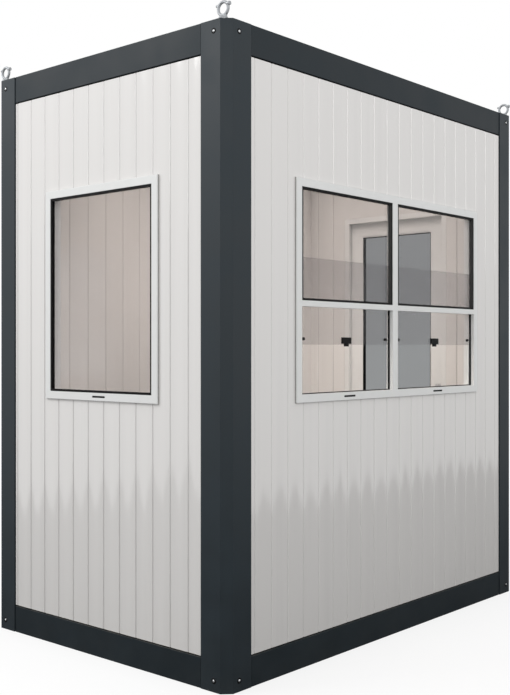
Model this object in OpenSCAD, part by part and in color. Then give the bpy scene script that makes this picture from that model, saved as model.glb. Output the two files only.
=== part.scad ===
// Security guard booth: a steel-framed flat-pack cabin with grooved sandwich walls.
// X runs along the long walls, Y along the short walls, Z up from the ground.
// The origin is on the ground at the middle of the four corner posts.

/* [Booth] */
// Length over the corner posts
length = 2300; // [2150:10:4000]
// Width over the corner posts
width = 1500; // [1350:10:2600]
// Height from the ground to the top of the posts
height = 2600; // [2400:10:3000]

/* [Steel frame] */
// Width of a square corner post
post_w = 140; // [110:1:180]
// Cut on the outer corner of a post
post_cut = 35; // [20:1:60]
// Wall of a post
post_wall = 4; // [2:0.5:8]
// Thickness of the plates that close a post at its foot and head
post_plate = 8; // [4:1:14]
// Height of the base and roof beams
beam_h = 120; // [100:1:160]
// Depth of a beam from its outer face to the edge of its wide flange
beam_d = 100; // [80:1:130]
// Steel thickness of a beam
beam_wall = 4; // [2:0.5:8]
// Lip turned in at the edge of a beam's flange
beam_lip = 25; // [12:1:35]
// How far a beam's outer face lies behind the post face
beam_set = 3; // [1:0.5:8]
// Width of the open seam between a beam's face and a post
seam_w = 4; // [1:0.5:6]
// Depth of that seam behind the beam's face
seam_d = 14; // [5:1:30]

/* [Walls] */
// Thickness of a sandwich wall panel
wall_t = 50; // [40:1:80]
// How far a wall's outer face lies behind the post face
wall_set = 5; // [3:0.5:15]
// Black seal between a wall panel and the posts beside it
wall_joint = 4; // [2:0.5:6]
// Black seal under and over a wall panel
wall_bed = 6; // [3:0.5:8]
// How far the seals lie behind the outer and inner faces of a wall
seal_set = 6; // [3:1:15]
// Spacing of the grooves in the outer skin
groove_pitch = 102.5; // [60:0.5:200]
// Width of a groove
groove_w = 8; // [4:0.5:16]
// Depth of a groove
groove_depth = 2.5; // [1:0.5:6]
// First outer groove of a long wall, from the left front post
long_first_groove = 26; // [10:1:100]
// First outer groove of a short wall, from the front post
short_first_groove = 74; // [10:1:100]
// Spacing of the grooves in the inner skin
inner_pitch = 118; // [60:1:200]
// First inner groove of a wall, from its end
inner_first_groove = 9; // [8:1:100]
// First inner groove of the door wall, from the post at either end
door_first_groove = 56; // [10:1:100]
// Thickness of the sheet that lines the posts inside
casing_t = 1.5; // [1:0.5:3]
// How far that sheet laps over the walls
casing_lap = 15; // [10:1:30]

/* [Floor and roof] */
// Thickness of the floor deck
floor_t = 20; // [12:1:40]
// Number of floor joists
joist_count = 5; // [3:1:9]
// Width of a joist
joist_w = 40; // [30:1:60]
// Space between the end joists and the posts
joist_margin = 100; // [20:5:200]
// Height of a joist
joist_h = 80; // [50:1:100]
// Wall of a joist tube
joist_wall = 3; // [2:0.5:6]
// Thickness of the ceiling board
ceiling_t = 12; // [8:1:20]
// Thickness of the roof panel, without its ribs
roof_t = 76; // [50:1:80]
// Height of the ribs on the roof panel
rib_h = 9; // [4:1:12]
// Spacing of the ribs
rib_pitch = 200; // [120:10:300]
// Width of a rib at its foot
rib_foot = 50; // [30:1:70]
// Width of a rib at its crest
rib_crest = 24; // [10:1:28]

/* [Windows] */
// Lower edge of both windows above the ground
window_z = 1103; // [900:1:1250]
// Height of both window surrounds
window_h = 933; // [700:1:1000]
// Face width of the surround
window_rail = 34; // [25:1:50]
// How far the surround laps over the wall around the cut
window_lap = 15; // [6:1:20]
// How far the surround stands proud of the wall
window_proud = 10; // [4:1:20]
// Width of the surround of the single window in the left short wall
side_window_w = 734; // [500:1:900]
// Width of the surround of the service window in the front long wall
front_window_w = 1488; // [1200:1:1600]
// How far the service window lies right of the middle of the wall
front_window_shift = 12.5; // [-40:0.5:40]
// Width of the mullion
mullion_w = 42; // [34:1:60]
// How far the mullion lies left of the middle of the window
mullion_shift = 18; // [-40:1:40]
// Depth of the mullion behind the channel that holds the sashes
mullion_back = 5; // [3:0.5:12]
// Height of the transom
transom_h = 25; // [18:1:50]
// Depth of the transom behind the fixed glass
transom_back = 2; // [1.5:0.5:2.5]
// Underside of the transom above the lower edge of the surround
transom_z = 401; // [300:1:500]
// Depth of the glass behind the face of the surround
glass_set = 17.5; // [12:0.5:24]
// Thickness of a glass pane
glass_t = 4; // [4:1:6]
// How far a pane reaches into the groove that holds it
glass_hold = 5; // [3:0.5:8]
// Fitting gap around a pane in its groove
glass_gap = 0.3; // [0.2:0.1:0.6]
// Face width of the black gasket
gasket_w = 10; // [4:0.5:14]
// How far a gasket lies behind the face of its frame
gasket_set = 2; // [0.5:0.5:5]
// Width of the drain slots in the bottom rail
drain_w = 85; // [40:1:120]
// Height of the drain slots
drain_h = 8; // [4:0.5:10]
// Depth of the drain slots
drain_d = 6; // [3:0.5:8]
// How far the black caps lie in the drain slots
drain_cap_set = 1.5; // [0.5:0.5:2.5]

/* [Sliding sashes] */
// Height of a sash glass
sash_h = 367; // [250:1:420]
// How far the sashes are raised above the sill
sash_lift = 208; // [0:1:400]
// Depth of the sash glass behind the face of the surround
sash_set = 25; // [24.5:0.5:32]
// How far a sash glass reaches into its channel
sash_hold = 9; // [5:0.5:10]
// Depth of the black seal in front of a sash glass
track_d = 7.7; // [4:0.1:7.7]
// Face width of that seal
track_w = 4; // [2:0.5:8]
// Depth of the black guide behind a sash glass
guide_d = 10; // [5:1:20]
// Face width of that guide
guide_w = 3; // [2:0.5:6]
// Width of the latch body
latch_w = 64; // [40:1:90]
// Height of the latch body
latch_h = 28; // [18:1:40]
// How far the latch body lies above the lower edge of the glass
latch_up = 4; // [0:1:12]
// Thickness of the latch body
latch_t = 9; // [5:0.5:12]
// Width of the latch tongue
latch_tongue_w = 26; // [14:1:36]
// How far the tongue reaches below the glass
latch_tongue_h = 8; // [4:0.5:14]
// Diameter of the finger knobs
knob_d = 13; // [8:0.5:20]
// Distance of a knob from the side of its bay
knob_inset = 33; // [22:1:60]
// Height of a knob above the lower edge of the glass
knob_up = 24; // [10:1:60]

/* [Door] */
// Clear width between the stops of the door frame
door_clear_w = 650; // [550:1:760]
// Clear height from the floor to the head stop
door_clear_h = 1948; // [1800:1:2000]
// How far the doorway lies towards the front from the middle of the wall
door_shift = 10; // [-40:1:40]
// How far the leaf laps over the stops
stop_lap = 15; // [10:1:25]
// Running gap at the edges of the leaf
leaf_gap = 7; // [5.5:0.5:10]
// Gap between the closed leaf and the stops
stop_gap = 5; // [5:0.5:8]
// Thickness of the leaf
leaf_t = 30; // [28:1:50]
// How far the leaf's inner face lies behind the inner wall face
leaf_set = 25; // [20:1:40]
// Width of the stiles and the top rail
leaf_stile = 95; // [70:1:120]
// Height of the bottom rail
leaf_bottom_rail = 250; // [95:5:700]
// Thickness of the door frame around the leaf
door_frame_t = 10; // [6:1:20]
// Face width of the outer trim of the door frame
door_trim = 34; // [25:1:50]
// Height of the threshold above the floor
threshold_h = 10; // [5:1:25]

/* [Door fittings] */
// Radius of a hinge barrel
barrel_r = 8; // [6:0.5:10]
// Height of a hinge barrel
barrel_h = 90; // [60:1:120]
// Radius of the hinge pins
pin_r = 4; // [3:0.5:5]
// Play between a hinge pin and its knuckle
pin_play = 0.2; // [0.1:0.05:0.5]
// Distance of the end hinges from the top and bottom of the leaf
hinge_inset = 180; // [120:1:300]
// Gap between a hinge barrel and the face behind it
hinge_clear = 5; // [5:0.5:8]
// Thickness of a hinge plate
hinge_plate_t = 3; // [2:0.5:4]
// Width of a hinge plate on the leaf
hinge_plate_w = 40; // [30:1:60]
// Play above and below between the two halves of a hinge
knuckle_play = 0.5; // [0.3:0.1:1]
// Height of the lever above the floor
lever_z = 910; // [800:10:1100]
// Length of the lever
lever_len = 115; // [90:1:140]
// Radius of the lever
lever_r = 8; // [6:0.5:11]
// How far the lever's middle stands off the leaf
lever_off = 33; // [30:1:55]
// Width of the lever's back plate
lever_plate_w = 30; // [24:1:40]
// Height of the lever's back plate
lever_plate_h = 210; // [120:1:260]
// Thickness of the lever's back plate
lever_plate_t = 8; // [5:0.5:12]
// How far the back plate reaches below the lever
lever_plate_down = 136; // [60:1:160]

/* [Lifting eyes] */
// Radius of the hole in an eye
eye_hole_r = 19.5; // [15:0.5:25]
// Radius of the round bar of the ring
eye_bar_r = 6.2; // [4:0.1:9]
// Height of the middle of the hole above the post
eye_z = 41; // [36:1:60]
// Distance of an eye from the short outer face of the post
eye_in_x = 22; // [20:1:100]
// Distance of an eye from the long outer face of the post
eye_in_y = 40; // [38:1:100]
// Radius of the collar on the post
collar_r = 18; // [14:0.5:19]
// Height of the collar
collar_h = 9; // [5:0.5:14]
// Half the width of the neck where it meets the collar
neck_half = 16; // [12:0.5:18]
// Thickness of the neck
neck_t = 10; // [6:0.5:12]
// Height of the side bosses above the middle of the hole
boss_up = 15; // [8:1:20]
// Radius of the front boss
boss_r = 8; // [6:0.5:9]
// How far the bosses stand out from the middle of the hole
boss_reach = 36; // [34:1:38]
// Radius of the back boss
small_boss_r = 5.5; // [4:0.5:8]

/* [Hidden] */
$fn = 48;
eps = 0.01;

half_l = length / 2;
half_w = width / 2;
long_run = length - 2 * post_w;
short_run = width - 2 * post_w;

// Heights
floor_z = beam_h + floor_t;
roof_beam_z = height - beam_h;
wall_z = beam_h + wall_bed;
wall_h = roof_beam_z - wall_bed - wall_z;

// Inner faces of the walls, and the span of a wall between its joints
inner_x = half_l - wall_set - wall_t;
inner_y = half_w - wall_set - wall_t;
long_wall = long_run - 2 * wall_joint;
short_wall = short_run - 2 * wall_joint;

// Windows
window_depth = window_proud + wall_t;
cut_play = 1;
fit_gap = 0.3;
roof_gap = 2;
front_window_x = front_window_shift - front_window_w / 2;
open_h = window_h - 2 * window_rail;
side_open_w = side_window_w - 2 * window_rail;
mullion_u = front_window_w / 2 - mullion_shift - mullion_w / 2;
bay_z = window_rail;
bay_h = transom_z - window_rail;
upper_z = transom_z + transom_h;
upper_h = window_h - window_rail - upper_z;
bay_u = [window_rail, mullion_u + mullion_w];
bay_w = [mullion_u - window_rail, front_window_w - window_rail - mullion_u - mullion_w];
transom_d = glass_set + glass_t + transom_back;
mullion_d = sash_set + glass_t + mullion_back;
sash_z = bay_z + sash_lift;

// Door, measured along Y from its own middle
leaf_w = door_clear_w + 2 * stop_lap;
head_z = floor_z + door_clear_h;
leaf_top = head_z + stop_lap;
threshold_z = floor_z + threshold_h;
leaf_bottom = threshold_z - stop_lap;
leaf_h = leaf_top - leaf_bottom;
leaf_x = inner_x + leaf_set;
stop_x = leaf_x - stop_gap;
wall_x = half_l - wall_set;
trim_x = wall_x + window_proud;
leaf_out_x = leaf_x + leaf_t;
rebate_w = leaf_w + 2 * leaf_gap;
doorway_w = rebate_w + 2 * door_frame_t;
rebate_z = leaf_top + leaf_gap;
doorway_z = rebate_z + door_frame_t;
door_y = -door_shift;
doorway_cut = doorway_w + 2 * cut_play;
doorway_u = short_wall / 2 + door_y - doorway_cut / 2;
hinge_x = max(leaf_out_x, trim_x) + barrel_r + hinge_clear;
hinge_link = barrel_r + 4;
hinge_y = door_y + leaf_w / 2 + leaf_gap / 2;
hinge_zs = [leaf_bottom + hinge_inset, (leaf_bottom + leaf_top) / 2, leaf_top - hinge_inset];
lock_y = door_y - leaf_w / 2 + leaf_stile / 2;
door_pane_x = leaf_x + (leaf_t - glass_t) / 2;

steel = "#3c4144";
panel_white = "#e4e3e1";
frame_white = "#dfe0e0";
glass_tint = [0.72, 0.76, 0.78, 0.45];
rubber_black = "#161616";
zinc = "#b9bdc0";

// Steel frame

// Outline of a post with its outer corner at the origin, shrunk by t on every side
module post_outline(t) {
  cut = post_cut - t * (2 - sqrt(2));
  translate([t, t])
    polygon([[cut, 0], [post_w - 2 * t, 0], [post_w - 2 * t, post_w - 2 * t], [0, post_w - 2 * t], [0, cut]]);
}

module post(sx, sy) {
  color(steel)
    mirror([sx > 0 ? 1 : 0, 0, 0])
      mirror([0, sy > 0 ? 1 : 0, 0])
        translate([-half_l, -half_w, 0])
          difference() {
            linear_extrude(height) post_outline(0);
            translate([0, 0, post_plate])
              linear_extrude(height - 2 * post_plate) post_outline(post_wall);
          }
}

// Section of a base beam: web at x = 0, wide flanges with lips
module base_beam_section() {
  difference() {
    square([beam_d, beam_h]);
    translate([beam_wall, beam_wall])
      square([beam_d - 2 * beam_wall, beam_h - 2 * beam_wall]);
    translate([beam_d - beam_wall - eps, beam_lip])
      square([beam_wall + 2 * eps, beam_h - 2 * beam_lip]);
  }
}

// Section of a roof beam: a wide lower flange that carries the roof, a short lipped upper one
module roof_beam_section() {
  square([beam_wall, beam_h]);
  square([beam_d, beam_wall]);
  translate([0, beam_h - beam_wall])
    square([beam_d / 2, beam_wall]);
  translate([beam_d / 2 - beam_wall, beam_h - beam_lip])
    square([beam_wall, beam_lip]);
}

// Lays a section along a side of the booth, with its web at the outside and a seam at each end
module along_side(turn, out, run) {
  rotate([0, 0, turn])
    translate([-run / 2, -out, 0])
      difference() {
        rotate([90, 0, 90])
          linear_extrude(run) children();
        for (u = [-1, run - seam_w])
          translate([u, -1, -1]) cube([seam_w + 1, seam_d + 1, beam_h + 2]);
      }
}

module base_beam(turn, out, run) {
  color(steel) along_side(turn, out - beam_set, run) base_beam_section();
}

module roof_beam(turn, out, run) {
  color(steel)
    translate([0, 0, roof_beam_z])
      along_side(turn, out - beam_set, run) roof_beam_section();
}

// Lifting eye on a post: a collar, a neck that widens upwards, and a ring with two side bosses
module lifting_eye(sx, sy) {
  ring_r = eye_hole_r + eye_bar_r;
  outer_r = ring_r + eye_bar_r;
  waist = asin((outer_r - neck_half) / (eye_z - collar_h));
  color(zinc)
    translate([sx * (half_l - eye_in_x), sy * (half_w - eye_in_y), height]) {
      cylinder(r = collar_r, h = collar_h);
      translate([0, 0, eye_z])
        rotate([0, 90, 0])
          rotate_extrude() translate([ring_r, 0]) circle(eye_bar_r);
      rotate([90, 0, 90])
        linear_extrude(neck_t, center = true)
          difference() {
            polygon([
              [-neck_half, collar_h - eps],
              [neck_half, collar_h - eps],
              [ring_r * cos(waist), eye_z - ring_r * sin(waist)],
              [-ring_r * cos(waist), eye_z - ring_r * sin(waist)]
            ]);
            translate([0, eye_z]) circle(ring_r);
          }
      translate([0, 0, eye_z + boss_up])
        rotate([90, 0, 0]) {
          translate([0, 0, eye_hole_r]) cylinder(r = boss_r, h = boss_reach - eye_hole_r);
          translate([0, 0, -boss_reach]) cylinder(r = small_boss_r, h = boss_reach - eye_hole_r);
        }
    }
}

// Floor and roof

// Rectangle with the four corner posts notched out, in plan
module plan_between_posts(x, y, play) {
  difference() {
    square([2 * x, 2 * y], center = true);
    for (sx = [-1, 1], sy = [-1, 1])
      translate([sx * (half_l - post_w / 2), sy * (half_w - post_w / 2)])
        square(post_w + 2 * play, center = true);
  }
}

module floor_joists() {
  span = 2 * (half_w - beam_set - beam_d);
  color(steel)
    for (i = [0 : joist_count - 1])
      translate([(i / (joist_count - 1) - 0.5) * (long_run - joist_w - 2 * joist_margin), 0, beam_h - joist_h])
        rotate([90, 0, 0])
          translate([-joist_w / 2, 0, -span / 2])
            linear_extrude(span)
              difference() {
                square([joist_w, joist_h]);
                translate([joist_wall, joist_wall])
                  square([joist_w - 2 * joist_wall, joist_h - 2 * joist_wall]);
              }
}

module floor_deck() {
  color("#8d8f8c")
    translate([0, 0, beam_h])
      linear_extrude(floor_t)
        plan_between_posts(inner_x - fit_gap, inner_y - fit_gap, fit_gap);
}

module ceiling_board() {
  color(panel_white)
    translate([0, 0, roof_beam_z - ceiling_t])
      linear_extrude(ceiling_t)
        plan_between_posts(inner_x - fit_gap, inner_y - fit_gap, fit_gap);
}

// Roof panel on the lower flanges of the roof beams, its ribs running across the booth
module roof_panel() {
  x = half_l - beam_set - beam_wall - roof_gap;
  y = half_w - beam_set - beam_wall - roof_gap;
  rib_run = half_l - beam_set - beam_d / 2 - rib_foot;
  rib_n = floor(rib_run / rib_pitch);
  color(panel_white)
    translate([0, 0, roof_beam_z + beam_wall])
      difference() {
        rotate([90, 0, 0])
          linear_extrude(2 * y, center = true)
            union() {
              translate([-x, 0]) square([2 * x, roof_t]);
              for (i = [-rib_n : rib_n])
                translate([i * rib_pitch, roof_t - eps])
                  polygon([[-rib_foot / 2, 0], [rib_foot / 2, 0], [rib_crest / 2, rib_h], [-rib_crest / 2, rib_h]]);
            }
        for (sx = [-1, 1], sy = [-1, 1])
          translate([sx * (half_l - post_w / 2), sy * (half_w - post_w / 2), beam_h / 2])
            cube([post_w + 2 * roof_gap, post_w + 2 * roof_gap, 2 * beam_h], center = true);
      }
}

// Walls

// Places of grooves from first to the end of a run
function groove_places(first, pitch, run) =
  [for (p = [first : pitch : run - groove_w]) p - wall_joint];

// The same places measured from the other end
function from_far_end(places, run) = [for (i = [len(places) - 1 : -1 : 0]) run - places[i]];

// Only the places that lie between two limits, measured from the first limit
function between(places, a, b) = [for (p = places) if (p > a + groove_w && p < b - groove_w) p - a];

// Plan of a sandwich panel: outer skin at y = 0, inner skin at y = wall_t
module panel_plan(run, outer, inner) {
  foot = groove_w / 2;
  bed = groove_w / 4;
  outer_line = [for (p = outer) each [[p - foot, 0], [p - bed, groove_depth], [p + bed, groove_depth], [p + foot, 0]]];
  inner_line = [
    for (i = [len(inner) - 1 : -1 : 0])
      let (p = inner[i], v = wall_t)
        each [[p + foot, v], [p + bed, v - groove_depth], [p - bed, v - groove_depth], [p - foot, v]]
  ];
  polygon(concat([[0, 0]], outer_line, [[run, 0], [run, wall_t]], inner_line, [[0, wall_t]]));
}

long_grooves = groove_places(long_first_groove, groove_pitch, long_run);
short_grooves = groove_places(short_first_groove, groove_pitch, short_run);
long_inner = groove_places(inner_first_groove + groove_w, inner_pitch, long_run);
short_inner = groove_places(inner_first_groove + groove_w, inner_pitch, short_run);
door_inner = groove_places(door_first_groove, inner_pitch, short_run);

// Moves a wall-local drawing to a side: u along the wall, v inwards from its outer face
module on_front_wall() {
  translate([-long_wall / 2, -half_w + wall_set, 0]) children();
}
module on_back_wall() {
  rotate([0, 0, 180]) on_front_wall() children();
}
module on_left_wall() {
  rotate([0, 0, -90]) translate([-short_wall / 2, -half_l + wall_set, 0]) children();
}
module on_right_wall() {
  rotate([0, 0, 180]) on_left_wall() children();
}

module front_wall() {
  cut_u = long_wall / 2 + front_window_x + window_lap - cut_play;
  color(panel_white)
    on_front_wall()
      difference() {
        translate([0, 0, wall_z])
          linear_extrude(wall_h) panel_plan(long_wall, long_grooves, long_inner);
        translate([cut_u, -1, window_z + window_lap - cut_play])
          cube([
            front_window_w - 2 * (window_lap - cut_play),
            wall_t + 2,
            window_h - 2 * (window_lap - cut_play)
          ]);
      }
}

module back_wall() {
  color(panel_white)
    on_back_wall()
      translate([0, 0, wall_z])
        linear_extrude(wall_h)
          panel_plan(long_wall, from_far_end(long_grooves, long_wall), from_far_end(long_inner, long_wall));
}

module left_wall() {
  cut_u = short_wall / 2 - side_window_w / 2 + window_lap - cut_play;
  color(panel_white)
    on_left_wall()
      difference() {
        translate([0, 0, wall_z])
          linear_extrude(wall_h)
            panel_plan(short_wall, from_far_end(short_grooves, short_wall), short_inner);
        translate([cut_u, -1, window_z + window_lap - cut_play])
          cube([
            side_window_w - 2 * (window_lap - cut_play),
            wall_t + 2,
            window_h - 2 * (window_lap - cut_play)
          ]);
      }
}

// The door wall in three panels: towards the front, towards the back and over the doorway
module door_wall_panel(a, b, z, h, inner) {
  color(panel_white)
    on_right_wall()
      translate([a, 0, z])
        linear_extrude(h)
          panel_plan(b - a, between(short_grooves, a, b), between(inner, a, b));
}

module door_wall_front() {
  door_wall_panel(0, doorway_u, wall_z, wall_h, door_inner);
}

module door_wall_back() {
  door_wall_panel(doorway_u + doorway_cut, short_wall, wall_z, wall_h, from_far_end(door_inner, short_wall));
}

module door_wall_over() {
  z = doorway_z + fit_gap;
  door_wall_panel(doorway_u, doorway_u + doorway_cut, z, wall_z + wall_h - z, []);
}

// Black seal around a wall panel, between it and the posts and beams
module wall_seal(run) {
  translate([-wall_joint, seal_set, beam_h])
    difference() {
      cube([run + 2 * wall_joint, wall_t - 2 * seal_set, wall_h + 2 * wall_bed]);
      translate([wall_joint, -1, wall_bed]) cube([run, wall_t, wall_h]);
    }
}

module wall_seals() {
  color(rubber_black) {
    on_front_wall() wall_seal(long_wall);
    on_back_wall() wall_seal(long_wall);
    on_left_wall() wall_seal(short_wall);
    on_right_wall()
      difference() {
        wall_seal(short_wall);
        translate([doorway_u, 0, 0]) cube([doorway_cut, wall_t, doorway_z]);
      }
  }
}

// White sheet that lines the inner corner of each post and laps over the walls beside it
module corner_casings() {
  x = half_l - post_w - casing_t;
  y = half_w - post_w - casing_t;
  color(panel_white)
    for (sx = [0, 1], sy = [0, 1])
      mirror([sx, 0, 0])
        mirror([0, sy, 0])
          translate([0, 0, floor_z])
            linear_extrude(roof_beam_z - ceiling_t - floor_z) {
              translate([x, y]) square([casing_t, inner_y - y]);
              translate([x, y]) square([inner_x - x, casing_t]);
              translate([x - casing_lap, inner_y - casing_t]) square([casing_lap + casing_t, casing_t]);
              translate([inner_x - casing_t, y - casing_lap]) square([casing_t, casing_lap + casing_t]);
            }
}

// Windows, drawn with u along the wall, v inwards from the face of the surround, z up

module on_side_window() {
  on_left_wall()
    translate([short_wall / 2 - side_window_w / 2, -window_proud, window_z]) children();
}
module on_front_window() {
  on_front_wall()
    translate([long_wall / 2 + front_window_x, -window_proud, window_z]) children();
}

// Surround: a face flange lapping the wall, and a body through the cut
module surround(w, h) {
  cube([w, window_proud, h]);
  translate([window_lap, window_proud - eps, window_lap])
    cube([w - 2 * window_lap, wall_t + eps, h - 2 * window_lap]);
}

// Block cut through the surround where a light or bay is open
module light(u, z, w, h) {
  translate([u, -1, z]) cube([w, window_depth + 2, h]);
}

// Groove that holds the edges of a fixed pane
module pane_groove(u, z, w, h, v) {
  reach = glass_hold + glass_gap;
  translate([u - reach, v - glass_gap, z - reach])
    cube([w + 2 * reach, glass_t + 2 * glass_gap, h + 2 * reach]);
}

module pane(u, z, w, h, v) {
  color(glass_tint)
    translate([u - glass_hold, v, z - glass_hold])
      cube([w + 2 * glass_hold, glass_t, h + 2 * glass_hold]);
}

// Black gasket ring lining a light from the face to the glass
module gasket_ring(u, z, w, h, v0, v1) {
  difference() {
    translate([u, v0, z]) cube([w, v1 - v0, h]);
    translate([u + gasket_w, v0 - 1, z + gasket_w])
      cube([w - 2 * gasket_w, v1 - v0 + 2, h - 2 * gasket_w]);
  }
}

// Round-ended drain slot in the face of the bottom rail, from depth v0 to v1
module drain_slot(u, v0, v1) {
  translate([u, v1, window_rail / 2])
    rotate([90, 0, 0])
      linear_extrude(v1 - v0) {
        square([drain_w - drain_h, drain_h], center = true);
        for (side = [-1, 1])
          translate([side * (drain_w - drain_h) / 2, 0]) circle(d = drain_h);
      }
}

module side_window_frame() {
  color(frame_white)
    on_side_window()
      difference() {
        surround(side_window_w, window_h);
        light(window_rail, window_rail, side_open_w, open_h);
        pane_groove(window_rail, window_rail, side_open_w, open_h, glass_set);
        drain_slot(side_window_w / 2, -1, drain_d);
      }
}

// Gasket of the side window, and the cap in its drain slot
module side_window_gasket() {
  color(rubber_black)
    on_side_window() {
      gasket_ring(window_rail, window_rail, side_open_w, open_h, gasket_set, glass_set);
      drain_slot(side_window_w / 2, drain_cap_set, drain_d);
    }
}

module side_window_pane() {
  on_side_window() pane(window_rail, window_rail, side_open_w, open_h, glass_set);
}

// Channel beside a bay in which the sash glass slides, from the sill to the head
module sash_channel(i) {
  reach = sash_hold + glass_gap;
  translate([bay_u[i] - reach, sash_set - glass_gap, bay_z])
    cube([bay_w[i] + 2 * reach, glass_t + 2 * glass_gap, open_h]);
}

module front_window_frame() {
  color(frame_white)
    on_front_window()
      difference() {
        surround(front_window_w, window_h);
        for (i = [0, 1]) {
          light(bay_u[i], bay_z, bay_w[i], bay_h);
          light(bay_u[i], upper_z, bay_w[i], upper_h);
          translate([bay_u[i], transom_d, transom_z - eps])
            cube([bay_w[i], window_depth, transom_h + 2 * eps]);
          pane_groove(bay_u[i], upper_z, bay_w[i], upper_h, glass_set);
          sash_channel(i);
          drain_slot(bay_u[i] + bay_w[i] / 2, -1, drain_d);
        }
        translate([mullion_u - eps, mullion_d, bay_z])
          cube([mullion_w + 2 * eps, window_depth, open_h]);
      }
}

// Black seal that the sash runs against: two sides and the sill of a bay
module track_seal(i) {
  v = sash_set - glass_gap - track_d;
  for (u = [bay_u[i], bay_u[i] + bay_w[i] - track_w])
    translate([u, v, bay_z]) cube([track_w, track_d, bay_h]);
  translate([bay_u[i] + track_w - eps, v, bay_z])
    cube([bay_w[i] - 2 * track_w + 2 * eps, track_d, track_w]);
}

// Black guide behind the sash on the outer side of each bay
module sash_guides() {
  for (u = [bay_u[0], bay_u[1] + bay_w[1] - guide_w])
    translate([u, sash_set + glass_t + glass_gap, bay_z]) cube([guide_w, guide_d, open_h]);
}

// Gaskets, seals and guides of the service window, and the caps in its drain slots
module front_window_gasket() {
  color(rubber_black)
    on_front_window() {
      sash_guides();
      for (i = [0, 1]) {
        gasket_ring(bay_u[i], upper_z, bay_w[i], upper_h, gasket_set, glass_set);
        track_seal(i);
        drain_slot(bay_u[i] + bay_w[i] / 2, drain_cap_set, drain_d);
      }
    }
}

module front_window_panes() {
  on_front_window()
    for (i = [0, 1]) pane(bay_u[i], upper_z, bay_w[i], upper_h, glass_set);
}

module sash(i) {
  color(glass_tint)
    on_front_window()
      translate([bay_u[i] - sash_hold, sash_set, sash_z])
        cube([bay_w[i] + 2 * sash_hold, glass_t, sash_h]);
}

// Latch with its tongue at the middle of a sash, and a finger knob near each end
module sash_latch(i) {
  body_z = sash_z + latch_up;
  middle = bay_u[i] + bay_w[i] / 2;
  color(rubber_black)
    on_front_window() {
      translate([middle - latch_w / 2, sash_set - latch_t, body_z])
        cube([latch_w, latch_t, latch_h]);
      translate([middle - latch_tongue_w / 2, sash_set - latch_t, sash_z - latch_tongue_h])
        cube([latch_tongue_w, latch_t, latch_tongue_h + latch_up + eps]);
      for (u = [bay_u[i] + knob_inset, bay_u[i] + bay_w[i] - knob_inset])
        translate([u, sash_set - latch_t, sash_z + knob_up])
          rotate([-90, 0, 0]) cylinder(d = knob_d, h = latch_t);
    }
}

module sash_fittings() {
  for (i = [0, 1]) sash_latch(i);
}

// Door frame

// Plan of a jamb at the side s of the doorway: the stop, then the rebate wall with its trim
module jamb(s) {
  stop_y = door_clear_w / 2;
  rebate_y = rebate_w / 2;
  outer_y = doorway_w / 2;
  color(frame_white)
    translate([0, door_y, 0])
      mirror([0, s < 0 ? 1 : 0, 0]) {
        translate([inner_x, stop_y, beam_h])
          cube([stop_x - inner_x, outer_y - stop_y, head_z - beam_h]);
        translate([stop_x - eps, rebate_y, beam_h])
          cube([wall_x - stop_x + 2 * eps, door_frame_t, rebate_z - beam_h]);
        translate([wall_x, rebate_y, beam_h])
          cube([window_proud, door_trim, rebate_z - beam_h]);
      }
}

module door_head() {
  color(frame_white)
    translate([0, door_y, 0]) {
      translate([inner_x, -doorway_w / 2, head_z])
        cube([stop_x - inner_x, doorway_w, doorway_z - head_z]);
      translate([stop_x - eps, -doorway_w / 2, rebate_z])
        cube([wall_x - stop_x + 2 * eps, doorway_w, door_frame_t]);
      translate([wall_x, -rebate_w / 2 - door_trim, rebate_z])
        cube([window_proud, rebate_w + 2 * door_trim, door_trim]);
    }
}

module door_threshold() {
  sill_t = leaf_bottom - beam_h - stop_gap;
  color(zinc)
    translate([0, door_y, 0]) {
      translate([inner_x, -door_clear_w / 2, beam_h])
        cube([stop_x - inner_x, door_clear_w, threshold_z - beam_h]);
      translate([stop_x - eps, -rebate_w / 2, beam_h])
        cube([trim_x - stop_x, rebate_w, sill_t]);
    }
}

// Fixed half of each hinge: lower knuckle, plate on the trim, and the pin
module hinge_pins() {
  color(zinc)
    for (z = hinge_zs)
      translate([hinge_x, hinge_y, z - barrel_h / 2]) {
        cylinder(r = barrel_r, h = barrel_h / 2);
        cylinder(r = pin_r, h = barrel_h - 4 * knuckle_play);
        translate([trim_x - hinge_x, leaf_gap / 2, 0])
          cube([hinge_x - trim_x, hinge_link - leaf_gap / 2, barrel_h / 2]);
        translate([trim_x - hinge_x, leaf_gap / 2, 0])
          cube([hinge_plate_t, door_trim - leaf_gap / 2, barrel_h / 2]);
      }
}

// Door leaf and what rides on it

leaf_light_w = leaf_w - 2 * leaf_stile;
leaf_light_z = leaf_bottom + leaf_bottom_rail;
leaf_light_h = leaf_top - leaf_stile - leaf_light_z;

module door_leaf() {
  reach = glass_hold + glass_gap;
  color(frame_white)
    translate([leaf_x, door_y, 0])
      difference() {
        translate([0, -leaf_w / 2, leaf_bottom]) cube([leaf_t, leaf_w, leaf_h]);
        translate([-1, -leaf_light_w / 2, leaf_light_z])
          cube([leaf_t + 2, leaf_light_w, leaf_light_h]);
        translate([(leaf_t - glass_t) / 2 - glass_gap, -leaf_light_w / 2 - reach, leaf_light_z - reach])
          cube([glass_t + 2 * glass_gap, leaf_light_w + 2 * reach, leaf_light_h + 2 * reach]);
      }
}

module door_pane() {
  color(glass_tint)
    translate([door_pane_x, door_y - leaf_light_w / 2 - glass_hold, leaf_light_z - glass_hold])
      cube([glass_t, leaf_light_w + 2 * glass_hold, leaf_light_h + 2 * glass_hold]);
}

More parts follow.
